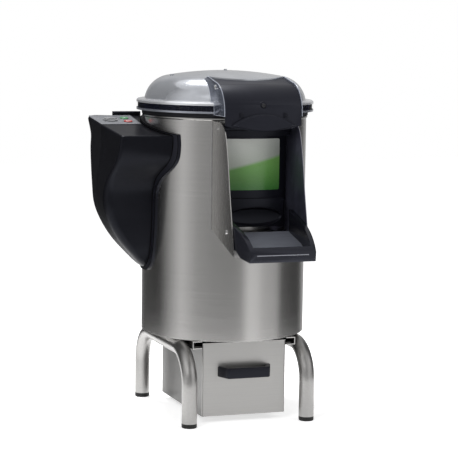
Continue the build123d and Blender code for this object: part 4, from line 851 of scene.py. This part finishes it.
# ---- studio -----------------------------------------------------------------
def seen_white(wire):
    """1 for rays of the camera, of gloss and of glass, else 0."""
    path = wire.node("LightPath", out="Is Camera Ray")
    path_node = path.socket.node
    seen = path
    for name in ("Is Glossy Ray", "Is Transmission Ray"):
        seen = seen.maths("MAXIMUM", seen, Wire(wire.tree, path_node.outputs[name]))
    return seen


def make_world():
    """Pale even light, which camera, gloss and glass see as white."""
    world = bpy.data.worlds.new("studio")
    bpy.context.scene.world = world
    world.use_nodes = True
    background = world.node_tree.nodes["Background"]
    background.inputs["Color"].default_value = WHITE
    wire = Wire(world.node_tree)
    strength = seen_white(wire) * (1.0 - AMBIENT) + AMBIENT
    world.node_tree.links.new(strength.socket, background.inputs["Strength"])


def make_floor():
    """Plain white floor that keeps the object's shadow."""
    shape = bmesh.new()
    bmesh.ops.create_grid(shape, x_segments=1, y_segments=1, size=FLOOR_SIDE / 2)
    mesh = bpy.data.meshes.new("floor")
    shape.to_mesh(mesh)
    shape.free()
    finish = Finish("floor")
    finish.feed(base_color=FLOOR_TONE, roughness=0.9, specular_ior_level=0.0, emission_color=WHITE,
                emission_strength=seen_white(Wire(finish.tree)) * FLOOR_LIFT)
    mesh.materials.append(finish.material)
    floor = bpy.data.objects.new("floor", mesh)
    bpy.context.scene.collection.objects.link(floor)


def stage_light(name, shape, finish):
    """A glowing surface that only gloss sees."""
    mesh = bpy.data.meshes.new(name)
    shape.to_mesh(mesh)
    shape.free()
    finish.feed(base_color=grey(0.0), roughness=1.0, specular_ior_level=0.0)
    mesh.materials.append(finish.material)
    card = bpy.data.objects.new(name, mesh)
    card.visible_camera = False
    card.visible_diffuse = False
    card.visible_shadow = False
    card.visible_transmission = False
    bpy.context.scene.collection.objects.link(card)


def make_studio_wall():
    """Curved grey wall whose tone changes round the object."""
    first, last = WALL_STOPS[0][0], WALL_STOPS[-1][0]
    shape = bmesh.new()
    start = math.radians(first)
    low = shape.verts.new((WALL_REACH * math.sin(start), -WALL_REACH * math.cos(start), 0.0))
    bmesh.ops.spin(shape, geom=[low], cent=(0, 0, 0), axis=(0, 0, 1),
                   angle=math.radians(last - first), steps=WALL_STEPS)
    wall = bmesh.ops.extrude_edge_only(shape, edges=shape.edges[:])
    upper = [v for v in wall["geom"] if isinstance(v, bmesh.types.BMVert)]
    bmesh.ops.translate(shape, verts=upper, vec=(0, 0, WALL_TOP))
    finish = Finish("studio_wall")
    angle = finish.place.axis("X").maths("ARCTAN2", finish.place.axis("X"),
                                         0.0 - finish.place.axis("Y"))
    along = angle.between(math.radians(first), math.radians(last))
    ramp = along.node("ValToRGB", {}, {0: along})
    stops = ramp.socket.node.color_ramp.elements
    stops.remove(stops[1])
    for number, (degrees, tone) in enumerate(WALL_STOPS):
        share = (degrees - first) / (last - first)
        stop = stops[0] if number == 0 else stops.new(share)
        stop.position = share
        stop.color = grey(tone)
    finish.feed(emission_color=ramp, emission_strength=1.0)
    stage_light("studio_wall", shape, finish)


def make_ceiling():
    """Plain grey ceiling over the wall."""
    shape = bmesh.new()
    bmesh.ops.create_circle(shape, cap_ends=True, segments=CEILING_SIDES, radius=WALL_REACH,
                            matrix=Matrix.Translation((0.0, 0.0, WALL_TOP)))
    finish = Finish("studio_ceiling")
    finish.feed(emission_color=WHITE, emission_strength=CEILING_TONE)
    stage_light("studio_ceiling", shape, finish)


def make_lamps():
    """Soft square lamps that look at the middle of the object."""
    middle = Vector(CAMERA_TARGET)
    for name, place, watts, side in SOFTBOXES:
        light = bpy.data.lights.new(name, "AREA")
        light.energy = watts
        light.size = side
        lamp = bpy.data.objects.new(name, light)
        lamp.location = place
        lamp.rotation_euler = (middle - Vector(place)).to_track_quat("-Z", "Y").to_euler()
        lamp.visible_camera = False
        bpy.context.scene.collection.objects.link(lamp)


def make_camera():
    """Camera with a long lens, slightly above the middle of the object."""
    turn, tilt = CAMERA_TURN, CAMERA_TILT
    back = Vector((math.sin(turn) * math.cos(tilt), -math.cos(turn) * math.cos(tilt),
                   math.sin(tilt)))
    right = Vector((math.cos(turn), math.sin(turn), 0.0))
    up = back.cross(right)
    rolled = right * math.cos(CAMERA_ROLL) + up * math.sin(CAMERA_ROLL)
    up = back.cross(rolled)
    lens = bpy.data.cameras.new("camera")
    lens.lens = CAMERA_LENS
    lens.sensor_width = SENSOR_WIDTH
    lens.clip_end = CAMERA_REACH
    camera = bpy.data.objects.new("camera", lens)
    axes = Matrix((rolled, up, back)).transposed().to_4x4()
    camera.matrix_world = Matrix.Translation(Vector(CAMERA_TARGET) + back * CAMERA_DISTANCE) @ axes
    bpy.context.scene.collection.objects.link(camera)
    bpy.context.scene.camera = camera


def dress_solids():
    """Gives every node of the model its own finish, or else that of its slot."""
    for row in frame["record"]["subparts"]:
        node = frame["nodes"][row["node"]]
        node.data.materials.clear()
        node.data.materials.append(FINISHES[OWN_FINISH.get(row["node"], row["material_slot"])])


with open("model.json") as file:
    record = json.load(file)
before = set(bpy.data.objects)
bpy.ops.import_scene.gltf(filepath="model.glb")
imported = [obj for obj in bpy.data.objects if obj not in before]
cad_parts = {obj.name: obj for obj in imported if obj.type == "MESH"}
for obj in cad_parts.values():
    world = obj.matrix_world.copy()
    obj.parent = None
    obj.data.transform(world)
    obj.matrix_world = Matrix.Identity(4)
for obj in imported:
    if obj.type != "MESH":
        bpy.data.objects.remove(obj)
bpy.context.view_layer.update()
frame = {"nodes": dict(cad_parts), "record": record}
bpy.context.scene.view_settings.view_transform = "Standard"
FINISHES = make_finishes()
make_camera()
make_world()
make_floor()
make_studio_wall()
make_ceiling()
make_lamps()
dress_solids()
for node, width in EASED:
    ease_edges(node, width)
make_housing_seam()
make_cheek_rims()
make_groove_edge()
make_ridge_edge()
make_lid_seal()
make_grip_rim()
make_weld_beads()
make_visor_catches()
make_panel_print()
make_button_marks()
